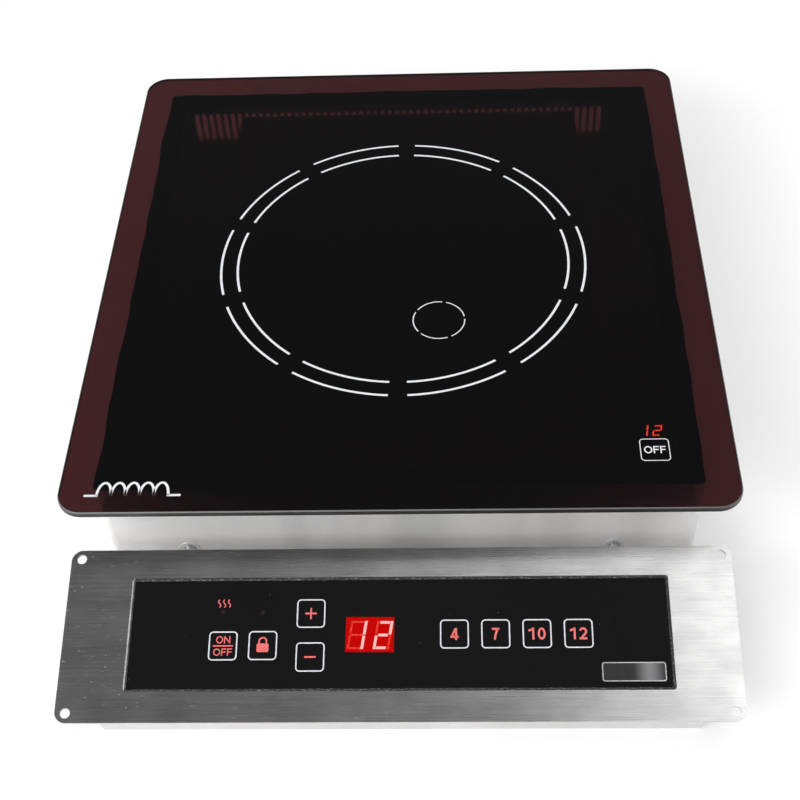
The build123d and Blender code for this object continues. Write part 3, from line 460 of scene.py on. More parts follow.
# Mica sheet and insulation pad: pressed mica flakes over the coil, and the charcoal fibre felt
# that keeps the heat of the glass from it. Both are laid loose.
flake_amber = (0.20, 0.15, 0.09)
flake_silver = (0.42, 0.38, 0.32)
flake_size = 0.004
flake_gloss = (0.30, 0.60)
flake_metal = 0.2
pressed_mica, shader, place = new_finish("pressed_mica", {"Metallic": flake_metal})
flakes = place.node("TexVoronoi", {}, {"Vector": place, "Scale": 1 / flake_size}, "Color").along("X")
flake_colour = flakes.blend(flake_amber, flake_silver)
feed(shader, {"Base Color": flake_colour, "Roughness": flakes.between(*flake_gloss)})
dress(pressed_mica, "mica_sheet")
felt_dark = (0.006, 0.006, 0.006)
felt_pale = (0.016, 0.016, 0.016)
felt_fibre = (0.0025, 0.0003, 0.0003)
felt_gloss = (0.90, 1.0)
felt_depth = 0.0003
fibre_felt = grained("fibre_felt", felt_dark, felt_pale, felt_fibre, felt_gloss, felt_depth, detail=4.0)
dress(fibre_felt, "insulation_pad")

# Touch contacts: soft carbon-filled rubber pads, moulded and pressed between the boards and the
# glass above them.
rubber_dark = (0.016, 0.016, 0.017)
rubber_bloom = (0.045, 0.045, 0.047)
rubber_grain = (0.0008, 0.0008, 0.0008)
rubber_gloss = (0.62, 0.82)
carbon_rubber = grained("carbon_rubber", rubber_dark, rubber_bloom, rubber_grain, rubber_gloss, mould_depth)
dress(carbon_rubber, "key_pad", "touch_pads")

# Glass seal: black silicone squeezed out between the housing's top flange and the glass, so its
# outer edge wanders along the walls. It bonds the plate to the housing.
seal_low, seal_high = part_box("glass_seal")
seal_lip = 0.012
seal_corner = 0.0016
seal_bulge = 0.0012
seal_mean = 0.35
seal_tuck = 0.0004
seal_wave = 0.022
seal_steps = 560
silicone_black = (0.0035, 0.0035, 0.0038)
silicone_sheen = (0.012, 0.012, 0.012)
silicone_ripple = (0.004, 0.004, 0.002)
silicone_gloss = (0.30, 0.55)
ripple_depth = 0.0002


def rounded_loop(width, depth, radius, count):
    """Points and outward directions at even steps round a rounded rectangle."""
    straight_x = width - 2 * radius
    straight_y = depth - 2 * radius
    turn = math.pi / 2 * radius
    loop = []
    for step in range(count):
        left = step / count * (2 * (straight_x + straight_y) + 4 * turn)
        for quarter in range(4):
            straight = straight_y if quarter % 2 == 0 else straight_x
            heading = quarter * math.pi / 2
            out = Vector((math.cos(heading), math.sin(heading)))
            side = Vector((-out.y, out.x))
            reach = (straight_x if quarter % 2 == 0 else straight_y) / 2
            if left < straight:
                loop.append((out * (reach + radius) + side * (left - straight / 2), out))
                break
            left -= straight
            if left < turn:
                angle = heading + left / radius
                corner = Vector((math.cos(angle), math.sin(angle)))
                loop.append((out * reach + side * straight / 2 + corner * radius, corner))
                break
            left -= turn
    return loop


black_silicone = grained(
    "black_silicone", silicone_black, silicone_sheen, silicone_ripple, silicone_gloss, ripple_depth
)
seal_width = seal_high.x - seal_low.x
seal_depth = seal_high.y - seal_low.y
sections = []
for point, out in rounded_loop(seal_width, seal_depth, seal_corner, seal_steps):
    wander = noise.noise((point.x / seal_wave, point.y / seal_wave, 0.0))
    swell = seal_bulge * (seal_mean + wander)
    outer = point + out * swell
    belly = outer - out * seal_tuck
    inner = point - out * seal_lip
    sections.append(
        (
            (*inner, seal_low.z),
            (*belly, seal_low.z),
            (*outer, (seal_low.z + seal_high.z) / 2),
            (*belly, seal_high.z),
            (*inner, seal_high.z),
        )
    )
sheet = bmesh.new()
ring_of(sheet, sections)
silicone_seal = new_piece("silicone_seal", sheet, black_silicone, "hob")
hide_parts("glass_seal")

# Glass plate: polished ceramic glass, tinted through so that it lets a little red light pass, with
# a ground edge that is dull grey under a bright arris, and a few specks of dust on it.
glass_tint = (0.052, 0.0126, 0.0136)
glass_index = 1.52
edge_grey = (0.010, 0.010, 0.010)
arris_grey = (0.11, 0.11, 0.11)
edge_grain = (0.003, 0.003, 0.0002)
edge_gloss = (0.30, 0.50)
arris_limits = (0.3, 0.6)
face_limits = (0.85, 0.95)
smudge_size = (0.05, 0.07, 0.05)
smudge_detail = 5.0
smudge_limits = (0.5, 0.8)
glass_gloss = (0.10, 0.13)
dust_size = (0.0007, 0.0009, 0.0009)
dust_limits = (0.80, 0.90)
dust_cover = 0.3
ceramic_glass, shader, place = new_finish(
    "ceramic_glass", {"Base Color": glass_tint, "IOR": glass_index, "Transmission Weight": 1.0}
)
smudge = place.grain(smudge_size, smudge_detail)
feed(shader, {"Roughness": smudge.fade(*smudge_limits).between(*glass_gloss)})
tree = ceramic_glass.node_tree
steepness = abs(place.node("NewGeometry", {}, {}, "Normal").along("Z"))
ground = place.grain(edge_grain)
dust = place.grain(dust_size, detail=0.0).fade(*dust_limits)
ground_edge = tree.nodes.new("ShaderNodeBsdfPrincipled")
feed(
    ground_edge,
    {
        "Base Color": steepness.fade(*arris_limits).blend(edge_grey, arris_grey),
        "Roughness": ground.between(*edge_gloss),
        "Normal": ground.relief(speckle_depth),
    },
)
polished_or_ground = tree.nodes.new("ShaderNodeMixShader")
fill(polished_or_ground.inputs["Fac"], steepness.fade(*face_limits) - dust_cover * dust)
tree.links.new(ground_edge.outputs["BSDF"], polished_or_ground.inputs[1])
tree.links.new(shader.outputs["BSDF"], polished_or_ground.inputs[2])
tree.links.new(polished_or_ground.outputs["Shader"], tree.nodes["Material Output"].inputs["Surface"])
dress(ceramic_glass, "glass_plate")

# Cooking zone marks: white ceramic ink fired onto the plate, two broken rings round the coil and a
# thin broken circle over the probe.
plate_low, plate_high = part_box("glass_plate")
ink_thickness = 0.00003
zone_radii = (0.110, 0.100)
zone_dash_count = 10
zone_gap = math.radians(5.68)
zone_turn = math.radians(89.5)
zone_line = 0.0014
probe_x = 0.022
probe_y = -0.0515
probe_radius = 0.015
probe_dash_count = 5
probe_gap = math.radians(9.2)
probe_turn = math.radians(78.0)
probe_line = 0.00064
arc_steps = 24
ink_white = (0.80, 0.81, 0.84)
ink_thin = (0.70, 0.71, 0.74)
ink_mottle = (0.0012, 0.0012, 0.0012)
ink_gloss = (0.35, 0.55)
ink_depth = 0.00001


def arc(radius, start, end, steps):
    """Points along an arc round the middle, angles from the X axis."""
    angles = [start + (end - start) * step / steps for step in range(steps + 1)]
    return [Vector((radius * math.cos(angle), radius * math.sin(angle))) for angle in angles]


def stroke(path, width):
    """Outline of an even line along a path, cut square at its ends."""
    sides = []
    for here in range(len(path)):
        way = (path[min(here + 1, len(path) - 1)] - path[max(here - 1, 0)]).normalized()
        sides.append(Vector((way.y, -way.x)) * width / 2)
    right = [point + side for point, side in zip(path, sides)]
    left = [point - side for point, side in zip(path, sides)]
    return right + left[::-1]


def press(sheet, outer, inner=None, at=(0.0, 0.0)):
    """Adds a thin flat print of an outline, open in the middle where an inner outline is given."""
    loops = []
    for outline in (outer, inner or []):
        for height in (0.0, ink_thickness):
            loops.append([sheet.verts.new((at[0] + x, at[1] + y, height)) for x, y in outline])
    low, high, inner_low, inner_high = loops
    if inner:
        pairs = ((low, high), (high, inner_high), (inner_high, inner_low), (inner_low, low))
    else:
        pairs = ((low, high),)
        sheet.faces.new(low)
        sheet.faces.new(high)
    for first, second in pairs:
        for here in range(len(first)):
            there = (here + 1) % len(first)
            sheet.faces.new((first[here], first[there], second[there], second[here]))


def broken_circle(sheet, radius, count, gap, turn, line, at=(0.0, 0.0)):
    """A printed circle of even dashes, with the middle of one gap at an angle."""
    pitch = 2 * math.pi / count
    for dash in range(count):
        start = turn + dash * pitch
        press(sheet, stroke(arc(radius, start + gap / 2, start + pitch - gap / 2, arc_steps), line), at=at)


fired_ink = grained("fired_ink", ink_thin, ink_white, ink_mottle, ink_gloss, ink_depth)
plate_top = Matrix.Translation((0.0, 0.0, plate_high.z))
sheet = bmesh.new()
for radius in zone_radii:
    broken_circle(sheet, radius, zone_dash_count, zone_gap, zone_turn, zone_line)
probe_at = (probe_x, probe_y)
broken_circle(sheet, probe_radius, probe_dash_count, probe_gap, probe_turn, probe_line, probe_at)
new_piece("zone_marks", sheet, fired_ink, "hob", plate_top)

# OFF key and coil sign: the same fired ink, a rounded box with its word at the right hand corner
# and the drawn symbol of a winding at the left.
key_low, key_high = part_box("key_pad")
key_middle = (key_low + key_high) / 2
key_width = 0.0158
key_depth = 0.0153
key_shift = -0.0001
key_corner = 0.0022
key_line = 0.00048
off_height = 0.0049
off_line = 0.00072
off_gap = 0.0006
off_breadth = 0.94
sign_left = -0.1655
sign_right = -0.1140
sign_base = -0.1785
sign_lead = 0.0060
sign_humps = 5
sign_height = 0.0092
sign_line = 0.0014
corner_steps = 6
f_waist = 0.52
f_arm = 0.93
n_inset = 0.6
one_notch = 0.7
one_flag = 0.74
four_stem = 0.70
four_bar = 0.27
four_inset = 0.6
seven_inset = 0.75
seven_bend = 0.9
seven_foot = 0.36
two_bow = 0.29
two_start = math.radians(168)
two_end = math.radians(-38)
two_foot = 0.35
letter_breadth = {"O": 0.95, "N": 0.84, "F": 0.65, "0": 0.68, "1": 0.49, "2": 0.68, "4": 0.71, "7": 0.65}


def rounded_box(width, height, radius):
    """Outline of a box with round corners, about its middle."""
    outline = []
    for quarter, (x, y) in enumerate(((1, 1), (-1, 1), (-1, -1), (1, -1))):
        middle = Vector((x * (width / 2 - radius), y * (height / 2 - radius)))
        bend = arc(radius, quarter * math.pi / 2, (quarter + 1) * math.pi / 2, corner_steps)
        outline += [middle + point for point in bend]
    return outline


def key_box(sheet, width, height, corner, line, at):
    """The printed outline of a key."""
    inner = rounded_box(width - 2 * line, height - 2 * line, corner - line)
    press(sheet, rounded_box(width, height, corner), inner, at)


def oval(width, height, middle):
    """Outline of an oval about a point."""
    turns = arc(1.0, 0.0, 2 * math.pi * (1 - 1 / (2 * arc_steps)), 2 * arc_steps - 1)
    return [middle + Vector((point.x * width / 2, point.y * height / 2)) for point in turns]


def letter_lines(letter, width, height, line):
    """Middle lines of the strokes of a plain letter or figure, from its lower left corner."""
    half = line / 2
    left, right, low, high = half, width - half, half, height - half
    if letter == "F":
        middle = f_waist * height
        lines = [[(left, 0), (left, height)], [(line, high), (width, high)]]
        lines.append([(line, middle), (f_arm * width, middle)])
    elif letter == "N":
        lines = [[(left, 0), (left, height)], [(right, 0), (right, height)]]
        lines.append([(left, height - n_inset * line), (right, n_inset * line)])
    elif letter == "1":
        lines = [[(right, 0), (right, height)]]
        lines.append([(right, height - one_notch * line), (0, one_flag * height)])
    elif letter == "4":
        stem, bar = four_stem * width, four_bar * height
        lines = [[(stem, 0), (stem, height)], [(0, bar), (width, bar)]]
        lines.append([(stem - half / 2, height - half / 2), (four_inset * line, bar)])
    elif letter == "7":
        leg = []
        for step in range(arc_steps + 1):
            share = step / arc_steps
            early, middle, late = (1 - share) ** 2, share * (1 - share), share**2
            leg_x = early * (width - seven_inset * line) + (middle * seven_bend + late * seven_foot) * width
            leg.append((leg_x, early * high + middle * height))
        lines = [[(0, high), (width, high)], leg]
    else:
        reach = (width - line) / 2
        rise = two_bow * height - half / 2
        bow = arc(1.0, two_start, two_end, arc_steps)
        curve = [(width / 2 + reach * point.x, high - rise + rise * point.y) for point in bow]
        lines = [curve + [(left + two_foot * line, low)], [(0, low), (width, low)]]
    return [[Vector(point) for point in path] for path in lines]


def legend(sheet, text, height, line, gap, at, breadth=1.0):
    """Prints plain letters or figures of a given height and line about a point."""
    widths = [letter_breadth[letter] * breadth * height for letter in text]
    left = at[0] - (sum(widths) + gap * (len(text) - 1)) / 2
    for letter, width in zip(text, widths):
        corner = (left, at[1] - height / 2)
        if letter in "O0":
            middle = Vector((width / 2, height / 2))
            hollow = oval(width - 2 * line, height - 2 * line, middle)
            press(sheet, oval(width, height, middle), hollow, corner)
        else:
            for path in letter_lines(letter, width, height, line):
                press(sheet, stroke(path, line), at=corner)
        left += width + gap


sheet = bmesh.new()
key_at = (key_middle.x + key_shift, key_middle.y)
key_box(sheet, key_width, key_depth, key_corner, key_line, key_at)
legend(sheet, "OFF", off_height, off_line, off_gap, key_at, off_breadth)
hump = (sign_right - sign_left - 2 * sign_lead - sign_line) / sign_humps
first_hump = sign_left + sign_lead + sign_line / 2
for end, way in ((sign_left, 1), (sign_right, -1)):
    lead = [Vector((end, sign_base)), Vector((end + way * (sign_lead + sign_line), sign_base))]
    press(sheet, stroke(lead, sign_line))
for turn in range(sign_humps):
    loop = []
    for point in arc(1.0, math.pi, 0.0, arc_steps):
        along = first_hump + hump * (turn + (1 + point.x) / 2)
        loop.append(Vector((along, sign_base + (sign_height - sign_line / 2) * point.y)))
    press(sheet, stroke(loop, sign_line))
new_piece("key_and_coil_marks", sheet, fired_ink, "hob", plate_top)

# Rim print: a fine black screen print under the plate's front rim, densest in the middle and thin at
# its ends. It is painted shade, standing for the shade that darkens this rim.
rim_reach = 0.155
rim_front = -0.1884
rim_back = -0.1724
rim_clear = 0.00002
rim_dots = (0.0005, 0.0005, 0.0005)
rim_shade_dense = 0.79
rim_shade_thinning = 0.56
rim_span = (0.03, 0.19)
rim_mottle = (0.8, 1.2)
rim_shade_black = (0.004, 0.004, 0.004)
rim_matt = 0.6
rim_shade_ink, shader, place = new_finish("rim_shade_ink", {"Base Color": rim_shade_black, "Roughness": rim_matt})
# Painted shade: the black print is densest in the middle of the front rim.
shade_density = rim_shade_dense - rim_shade_thinning * abs(place.along("X")).fade(*rim_span)
feed(shader, {"Alpha": shade_density * place.grain(rim_dots).between(*rim_mottle)})
rim_width = 2 * rim_reach
rim_depth = rim_back - rim_front
sheet = bmesh.new()
press(sheet, rounded_box(rim_width, rim_depth, key_corner), at=(0.0, (rim_front + rim_back) / 2))
rim_plane = Matrix.Translation((0.0, 0.0, plate_low.z - rim_clear - ink_thickness))
new_piece("rim_shade_print", sheet, rim_shade_ink, "hob", rim_plane)

# Red digits under the plate: a small two-digit display on the key board whose lit bars shine up
# through the dark glass. Its unlit bars and its face are black.
figure_low, figure_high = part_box("key_display")
figure_width = 0.0049
figure_height = 0.0074
figure_pitch = 0.0074
figure_shift = -0.0006
figure_bar = 0.0008
figure_slant = 0.16
bar_gap = 0.25
lit_red = (1.0, 0.26, 0.11)
lit_rim = (1.0, 0.16, 0.06)
lit_strength = 19.0
filter_dark = (0.010, 0.002, 0.002)
filter_red = (0.035, 0.003, 0.003)
filter_grain = (0.0006, 0.0006, 0.0006)
filter_gloss = (0.2, 0.4)
glow_limits = (0.35, 0.65)
bars_of = {"1": "bc", "2": "abged", "8": "abcdefg"}


def figure_bars(figure, width, height, bar, slant, at):
    """Outlines of the bars of a seven-bar figure about a point, leaning to the right."""
    x = width / 2 - bar / 2
    y = height / 2 - bar / 2
    short = x - bar * (0.5 + bar_gap)
    top = height / 2
    waist = bar * bar_gap
    ends = {
        "a": ((-short, y), (short, y)),
        "b": ((x, waist), (x, top)),
        "c": ((x, -top), (x, -waist)),
        "d": ((-short, -y), (short, -y)),
        "e": ((-x, -top), (-x, -waist)),
        "f": ((-x, waist), (-x, top)),
        "g": ((-short, 0), (short, 0)),
    }
    outlines = []
    for letter in bars_of[figure]:
        start, end = Vector(ends[letter][0]), Vector(ends[letter][1])
        corners = stroke([start, end], bar)
        outlines.append([Vector((at[0] + p.x + slant * p.y, at[1] + p.y)) for p in corners])
    return outlines


def glowing(name, low, high, strength):
    """A finish that gives its own light, mottled between two colours."""
    fixed = {"Base Color": filter_dark, "Emission Strength": strength, "Specular IOR Level": 0.0}
    material, shader, place = new_finish(name, fixed)
    feed(shader, {"Emission Color": place.grain(filter_grain).fade(*glow_limits).blend(low, high)})
    return material


dark_filter = grained("dark_filter", filter_dark, filter_red, filter_grain, filter_gloss, mould_depth)
dress(dark_filter, "key_display", "display_module", "indicator_lamps")
figures_middle = (figure_low + figure_high) / 2
sheet = bmesh.new()
for figure, shift in (("1", -figure_pitch / 2), ("2", figure_pitch / 2)):
    middle = (figures_middle.x + figure_shift + shift, figures_middle.y)
    for outline in figure_bars(figure, figure_width, figure_height, figure_bar, figure_slant, middle):
        press(sheet, outline)
lit_bars = glowing("lit_bars", lit_rim, lit_red, lit_strength)
figures_top = Matrix.Translation((0.0, 0.0, figure_high.z))
key_figures = new_piece("key_figures", sheet, lit_bars, "hob", figures_top)

# Touch glass of the control panel: black glass, polished and then wiped by hand, set a little below
# the bezel's face on its carrier.
panel_tilt = math.radians(15.0)
panel_gap = 0.0027
bezel_depth = 0.093
bezel_sheet = 0.0015
box_inset = 0.004
box_depth = 0.029
glass_recess = 0.0005
panel_glass_black = (0.0052, 0.0050, 0.0054)
panel_glass_grey = (0.0068, 0.0066, 0.0070)
panel_dust = (0.11, 0.11, 0.11)
panel_dust_limits = (0.85, 0.92)
touch_smudge = (0.45, 0.8)
touch_gloss = (0.03, 0.08)
touch_index = 1.5
touch_black, shader, place = new_finish("touch_black", {"IOR": touch_index})
smudge = place.grain(smudge_size, smudge_detail)
dust = place.grain(dust_size, detail=0.0).fade(*panel_dust_limits)
feed(
    shader,
    {
        "Base Color": dust.blend(smudge.blend(panel_glass_black, panel_glass_grey), panel_dust),
        "Roughness": smudge.fade(*touch_smudge).between(*touch_gloss),
    },
)
dress(touch_black, "touch_glass")

# Panel keys: white boxes and red legends screen printed on the touch glass, with two small lamp
# windows left clear in the print.
bezel_reach = (bezel_depth / 2) * math.cos(panel_tilt)
panel_y = plate_low.y - panel_gap - bezel_reach
box_rise = (bezel_depth / 2 - box_inset) * math.sin(panel_tilt)
panel_z = box_rise + (bezel_sheet + box_depth) * math.cos(panel_tilt)
panel_plane = Matrix.Translation((0.0, panel_y, panel_z)) @ Matrix.Rotation(panel_tilt, 4, "X")
print_plane = panel_plane @ Matrix.Translation((0.0, 0.0, -glass_recess))
panel_key_width = 0.0149
panel_key_height = 0.0155
panel_key_corner = 0.0022
panel_key_line = 0.00066
power_key = (-0.0908, -0.0064)
lock_key = (-0.0701, -0.0063)
plus_key = (-0.0455, 0.0108)
minus_key = (-0.0453, -0.0125)
preset_u = 0.0292
preset_pitch = 0.0213
preset_v = -0.0007
presets = ("4", "7", "10", "12")
preset_height = 0.0064
preset_line = 0.00108
preset_gap = 0.0018
preset_breadth = 0.93
word_height = 0.0039
word_line = 0.00058
word_gap = 0.0005
word_rise = 0.0033
bar_length = 0.0106
bar_line = 0.0007
cross_length = 0.0060
cross_line = 0.0009
lock_width = 0.0062
lock_height = 0.0046
lock_drop = 0.0012
shackle_radius = 0.0019
shackle_line = 0.0008
shackle_leg = 0.0012
heat_at = (-0.0913, 0.0165)
heat_height = 0.0042
heat_pitch = 0.0026
heat_sway = 0.0006
heat_line = 0.0006
heat_count = 3
lamp_places = ((-0.0916, 0.0118), (-0.0707, 0.0115))
lamp_window_radius = 0.0011
screen_white = (0.74, 0.75, 0.79)
screen_thin = (0.60, 0.61, 0.65)
legend_red = (0.82, 0.165, 0.155)
legend_thin = (0.72, 0.120, 0.112)
lamp_red = (0.045, 0.010, 0.011)
lamp_dark = (0.020, 0.008, 0.009)
lamp_gloss = (0.2, 0.3)
lamp_depth = 0.00001
screen_ink = grained("screen_ink", screen_thin, screen_white, ink_mottle, ink_gloss, ink_depth)
sheet = bmesh.new()
preset_places = [(preset_u + preset_pitch * index, preset_v) for index in range(len(presets))]
for at in [power_key, lock_key, plus_key, minus_key] + preset_places:
    key_box(sheet, panel_key_width, panel_key_height, panel_key_corner, panel_key_line, at)
new_piece("panel_key_boxes", sheet, screen_ink, "panel", print_plane)

red_ink = grained("red_ink", legend_thin, legend_red, ink_mottle, ink_gloss, ink_depth)
sheet = bmesh.new()
for figures, at in zip(presets, preset_places):
    legend(sheet, figures, preset_height, preset_line, preset_gap, at, preset_breadth)
for word, rise in (("ON", word_rise), ("OFF", -word_rise)):
    legend(sheet, word, word_height, word_line, word_gap, (power_key[0], power_key[1] + rise))
for at, length, line in (
    (power_key, bar_length, bar_line),
    (plus_key, cross_length, cross_line),
    (minus_key, cross_length, cross_line),
):
    reach = Vector((length / 2, 0.0))
    press(sheet, stroke([-reach, reach], line), at=at)
for side in (-1, 1):
    arm = [Vector((0.0, side * cross_line / 2)), Vector((0.0, side * cross_length / 2))]
    press(sheet, stroke(arm, cross_line), at=plus_key)
lock_body = (lock_key[0], lock_key[1] - lock_drop)
press(sheet, rounded_box(lock_width, lock_height, shackle_line), at=lock_body)
leg = Vector((0.0, shackle_leg))
bow = [leg + point for point in arc(shackle_radius, 0.0, math.pi, arc_steps)]
bow = [Vector((shackle_radius, 0.0))] + bow + [Vector((-shackle_radius, 0.0))]
press(sheet, stroke(bow, shackle_line), at=(lock_body[0], lock_body[1] + lock_height / 2))
for index in range(heat_count):
    middle = heat_at[0] + (index - (heat_count - 1) / 2) * heat_pitch
    wave = []
    for step in range(arc_steps + 1):
        share = step / arc_steps
        wave.append(Vector((heat_sway * math.sin(2 * math.pi * share), heat_height * (share - 0.5))))
    press(sheet, stroke(wave, heat_line), at=(middle, heat_at[1]))
new_piece("panel_legends", sheet, red_ink, "panel", print_plane)

lamp_window = grained("lamp_window", lamp_dark, lamp_red, ink_mottle, lamp_gloss, lamp_depth)
sheet = bmesh.new()
for at in lamp_places:
    press(sheet, oval(2 * lamp_window_radius, 2 * lamp_window_radius, Vector(at)))
lamp_windows = new_piece("lamp_windows", sheet, lamp_window, "panel", print_plane)

# Panel display: a red filter flush with the touch glass over two lit figures, whose unlit bars
# still show in the glow.
display_at = (-0.0146, -0.0007)
display_turn = math.radians(-0.5)
display_width = 0.0251
display_height = 0.0187
display_corner = 0.0003
big_at = (0.0002, -0.0003)
big_width = 0.0084
big_height = 0.0150
big_bar = 0.0014
dim_bar = 0.0010
big_pitch = 0.0134
big_slant = 0.145
glow_red = (0.60, 0.0, 0.0)
glow_deep = (0.50, 0.0, 0.0)
bar_dim = (0.90, 0.085, 0.050)
bar_dim_rim = (0.66, 0.010, 0.006)
bar_lit = (1.0, 0.62, 0.60)
bar_lit_rim = (1.0, 0.46, 0.44)
glow_strength = 1.0
layer = Matrix.Translation((0.0, 0.0, ink_thickness))
sheet = bmesh.new()
press(sheet, rounded_box(display_width, display_height, display_corner))
turned = Matrix.Translation((*display_at, 0.0)) @ Matrix.Rotation(display_turn, 4, "Z")
display_plane = print_plane @ turned
filter_glow = glowing("filter_glow", glow_deep, glow_red, glow_strength)
display_filter = new_piece("display_filter", sheet, filter_glow, "panel", display_plane)
for name, figures, bar, low, high, lift in (
    ("display_bars", "88", dim_bar, bar_dim_rim, bar_dim, layer),
    ("display_figures", "12", big_bar, bar_lit_rim, bar_lit, layer @ layer),
):
    sheet = bmesh.new()
    for figure, shift in zip(figures, (-big_pitch / 2, big_pitch / 2)):
        middle = (big_at[0] + shift, big_at[1])
        for outline in figure_bars(figure, big_width, big_height, bar, big_slant, middle):
            press(sheet, outline)
    bar_glow = glowing(name + "_glow", low, high, glow_strength)
    new_piece(name, sheet, bar_glow, "panel", display_plane @ lift)

# Plaque: a bare plate of dark brushed metal with a pale rolled rim, stuck on the touch glass below
# the last key. Its colour holds one painted highlight, a bright sweep to the right of its middle.
plaque_at = (0.1203, -0.0210)
plaque_width = 0.0324
plaque_height = 0.0100
plaque_corner = 0.0014
plaque_rim = 0.0005
highlight_offset = 0.0078
highlight_reach = 0.00875
highlight_share = 0.8
plaque_gloss = (0.3, 0.5)
plaque_dark = (0.012, 0.012, 0.013)
plaque_highlight_grey = (0.24, 0.24, 0.245)
rim_pale = (0.62, 0.62, 0.63)
rim_dull = (0.40, 0.40, 0.41)
plaque_brush = (0.0002, 0.01, 0.01)
plaque_rim_gloss = (0.25, 0.35)
plaque_share = 0.8
plaque_rim_share = 0.6
plaque_metal, shader, place = new_finish("plaque_metal", {"Metallic": plaque_share})
brush = place.grain(plaque_brush)
# Painted highlight: a bright band across the plaque, to the right of its middle.
painted_highlight = 1 - abs(place.along("X") - plaque_at[0] - highlight_offset).fade(0.0, highlight_reach)
feed(
    shader,
    {
        "Base Color": (highlight_share * painted_highlight + (1 - highlight_share) * brush).blend(plaque_dark, plaque_highlight_grey),
        "Roughness": brush.between(*plaque_gloss),
    },
)
sheet = bmesh.new()
press(sheet, rounded_box(plaque_width, plaque_height, plaque_corner), at=plaque_at)
new_piece("plaque", sheet, plaque_metal, "panel", print_plane)
plaque_edge = grained(
    "plaque_edge", rim_dull, rim_pale, ink_mottle, plaque_rim_gloss, ink_depth, plaque_rim_share
)
sheet = bmesh.new()
key_box(sheet, plaque_width, plaque_height, plaque_corner, plaque_rim, plaque_at)
new_piece("plaque_rim", sheet, plaque_edge, "panel", print_plane @ layer)

# Panel bezel: stainless sheet brushed along its length in short strokes, with a window and four
# corner holes. Handling has left a few light specks and scratches.
brush_bright = (0.64, 0.635, 0.63)
brush_dark = (0.48, 0.48, 0.48)
brush_mark = (0.62, 0.62, 0.62)
brush_hair = (0.035, 0.00036, 0.00036)
brush_stroke = (0.045, 0.0007, 0.0007)
brush_cloud = (0.024, 0.015, 0.015)
speck_size = (0.0010, 0.0007, 0.0007)
speck_limits = (0.77, 0.87)
speck_matt = 0.8
hair_share = 0.38
stroke_share = 0.12
cloud_share = 0.5
sheen_limits = (0.35, 0.65)
brush_gloss = (0.262, 0.292)
brush_depth = 0.00001
brushed_steel, shader, place = new_finish("brushed_steel", {})
hair = place.grain(brush_hair)
strokes = place.grain(brush_stroke)
cloud = place.grain(brush_cloud)
speck = place.grain(speck_size, detail=0.0).fade(*speck_limits)
sheen = (hair_share * hair + stroke_share * strokes + cloud_share * cloud).fade(*sheen_limits)
feed(
    shader,
    {
        "Base Color": speck.blend(sheen.blend(brush_dark, brush_bright), brush_mark),
        "Roughness": hair.between(*brush_gloss),
        "Metallic": 1 - speck_matt * speck,
        "Normal": hair.relief(brush_depth),
    },
)
dress(brushed_steel, "panel_bezel")

# Window bead: black silicone pressed into the gap between the window's edge and the touch glass,
# uneven as a bead smoothed by hand is, with pale dust caught in it. The window's cut edge is filed to
# a bright lip, widest at its left end.
bead_width = 0.0015
window_width = 0.282
window_height = 0.061
window_corner = 0.0015
bead_top = -0.0004
bead_bottom = -0.0015
bead_steps = 900
bead_wave = 0.0022
bead_swell = 0.00022
bead_crest = 0.55
rise_layer = 1.0
shift_layer = 7.0
bead_dust = (0.24, 0.24, 0.24)
bead_fleck = (0.0010, 0.0006, 0.0006)
fleck_limits = (0.54, 0.74)
lip_narrow = 0.0001
lip_right = 0.0002
lip_left = 0.0007
lip_drop = 0.0004
bead_gloss = 0.35
dusty_silicone, shader, place = new_finish("dusty_silicone", {"Roughness": bead_gloss})
fleck = place.grain(bead_fleck, detail=1.0)
feed(
    shader,
    {
        "Base Color": fleck.fade(*fleck_limits).blend(silicone_sheen, bead_dust),
        "Normal": fleck.relief(ripple_depth),
    },
)
sections = []
lips = []
for point, out in rounded_loop(window_width, window_height, window_corner, bead_steps):
    lip = max(lip_narrow, lip_right * out.x, -lip_left * out.x)
    ledge = point - out * lip
    lips.append(((*point, 0.0), (*ledge, -lip_drop), (*point, -lip_drop)))
    rise = bead_swell * noise.noise((point.x / bead_wave, point.y / bead_wave, rise_layer))
    shift = bead_swell * noise.noise((point.x / bead_wave, point.y / bead_wave, shift_layer))
    inner = point - out * bead_width
    crest = point - out * (bead_width * bead_crest + shift)
    sections.append(
        (
            (*inner, bead_bottom),
            (*point, bead_bottom),
            (*point, bead_top - bead_swell),
            (*crest, bead_top + rise),
            (*inner, bead_top - bead_swell),
        )
    )
sheet = bmesh.new()
ring_of(sheet, sections)
window_bead = new_piece("window_bead", sheet, dusty_silicone, "panel", panel_plane)
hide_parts("panel_seal")
sheet = bmesh.new()
ring_of(sheet, lips)
new_piece("window_lip", sheet, brushed_steel, "panel", panel_plane)

# Floor and room: a white studio floor that keeps the shadow, pale walls round it and a dark
# ceiling, which is what the glass and the bezel mirror.
floor_reach = 3.0
floor_sides = 96
floor_white = (0.80, 0.80, 0.80)
floor_glow = 0.22
shadow_reach = 0.30
white_from = 0.62
white = (1.0, 1.0, 1.0)
sheet = bmesh.new()
bmesh.ops.create_circle(sheet, cap_ends=True, radius=floor_reach, segments=floor_sides)
floor_mesh = bpy.data.meshes.new("floor")
sheet.to_mesh(floor_mesh)
sheet.free()
floor = bpy.data.objects.new("floor", floor_mesh)
bpy.context.scene.collection.objects.link(floor)


def seen_rays(tree):
    """1 for rays from the camera, a mirror or through glass, and 0 for those that spread light."""
    rays = tree.nodes.new("ShaderNodeLightPath")
    seen = Tone(rays.outputs["Is Camera Ray"])
    for ray in ("Is Glossy Ray", "Is Transmission Ray"):
        seen = seen.sum("MAXIMUM", seen, Tone(rays.outputs[ray]))
    return seen


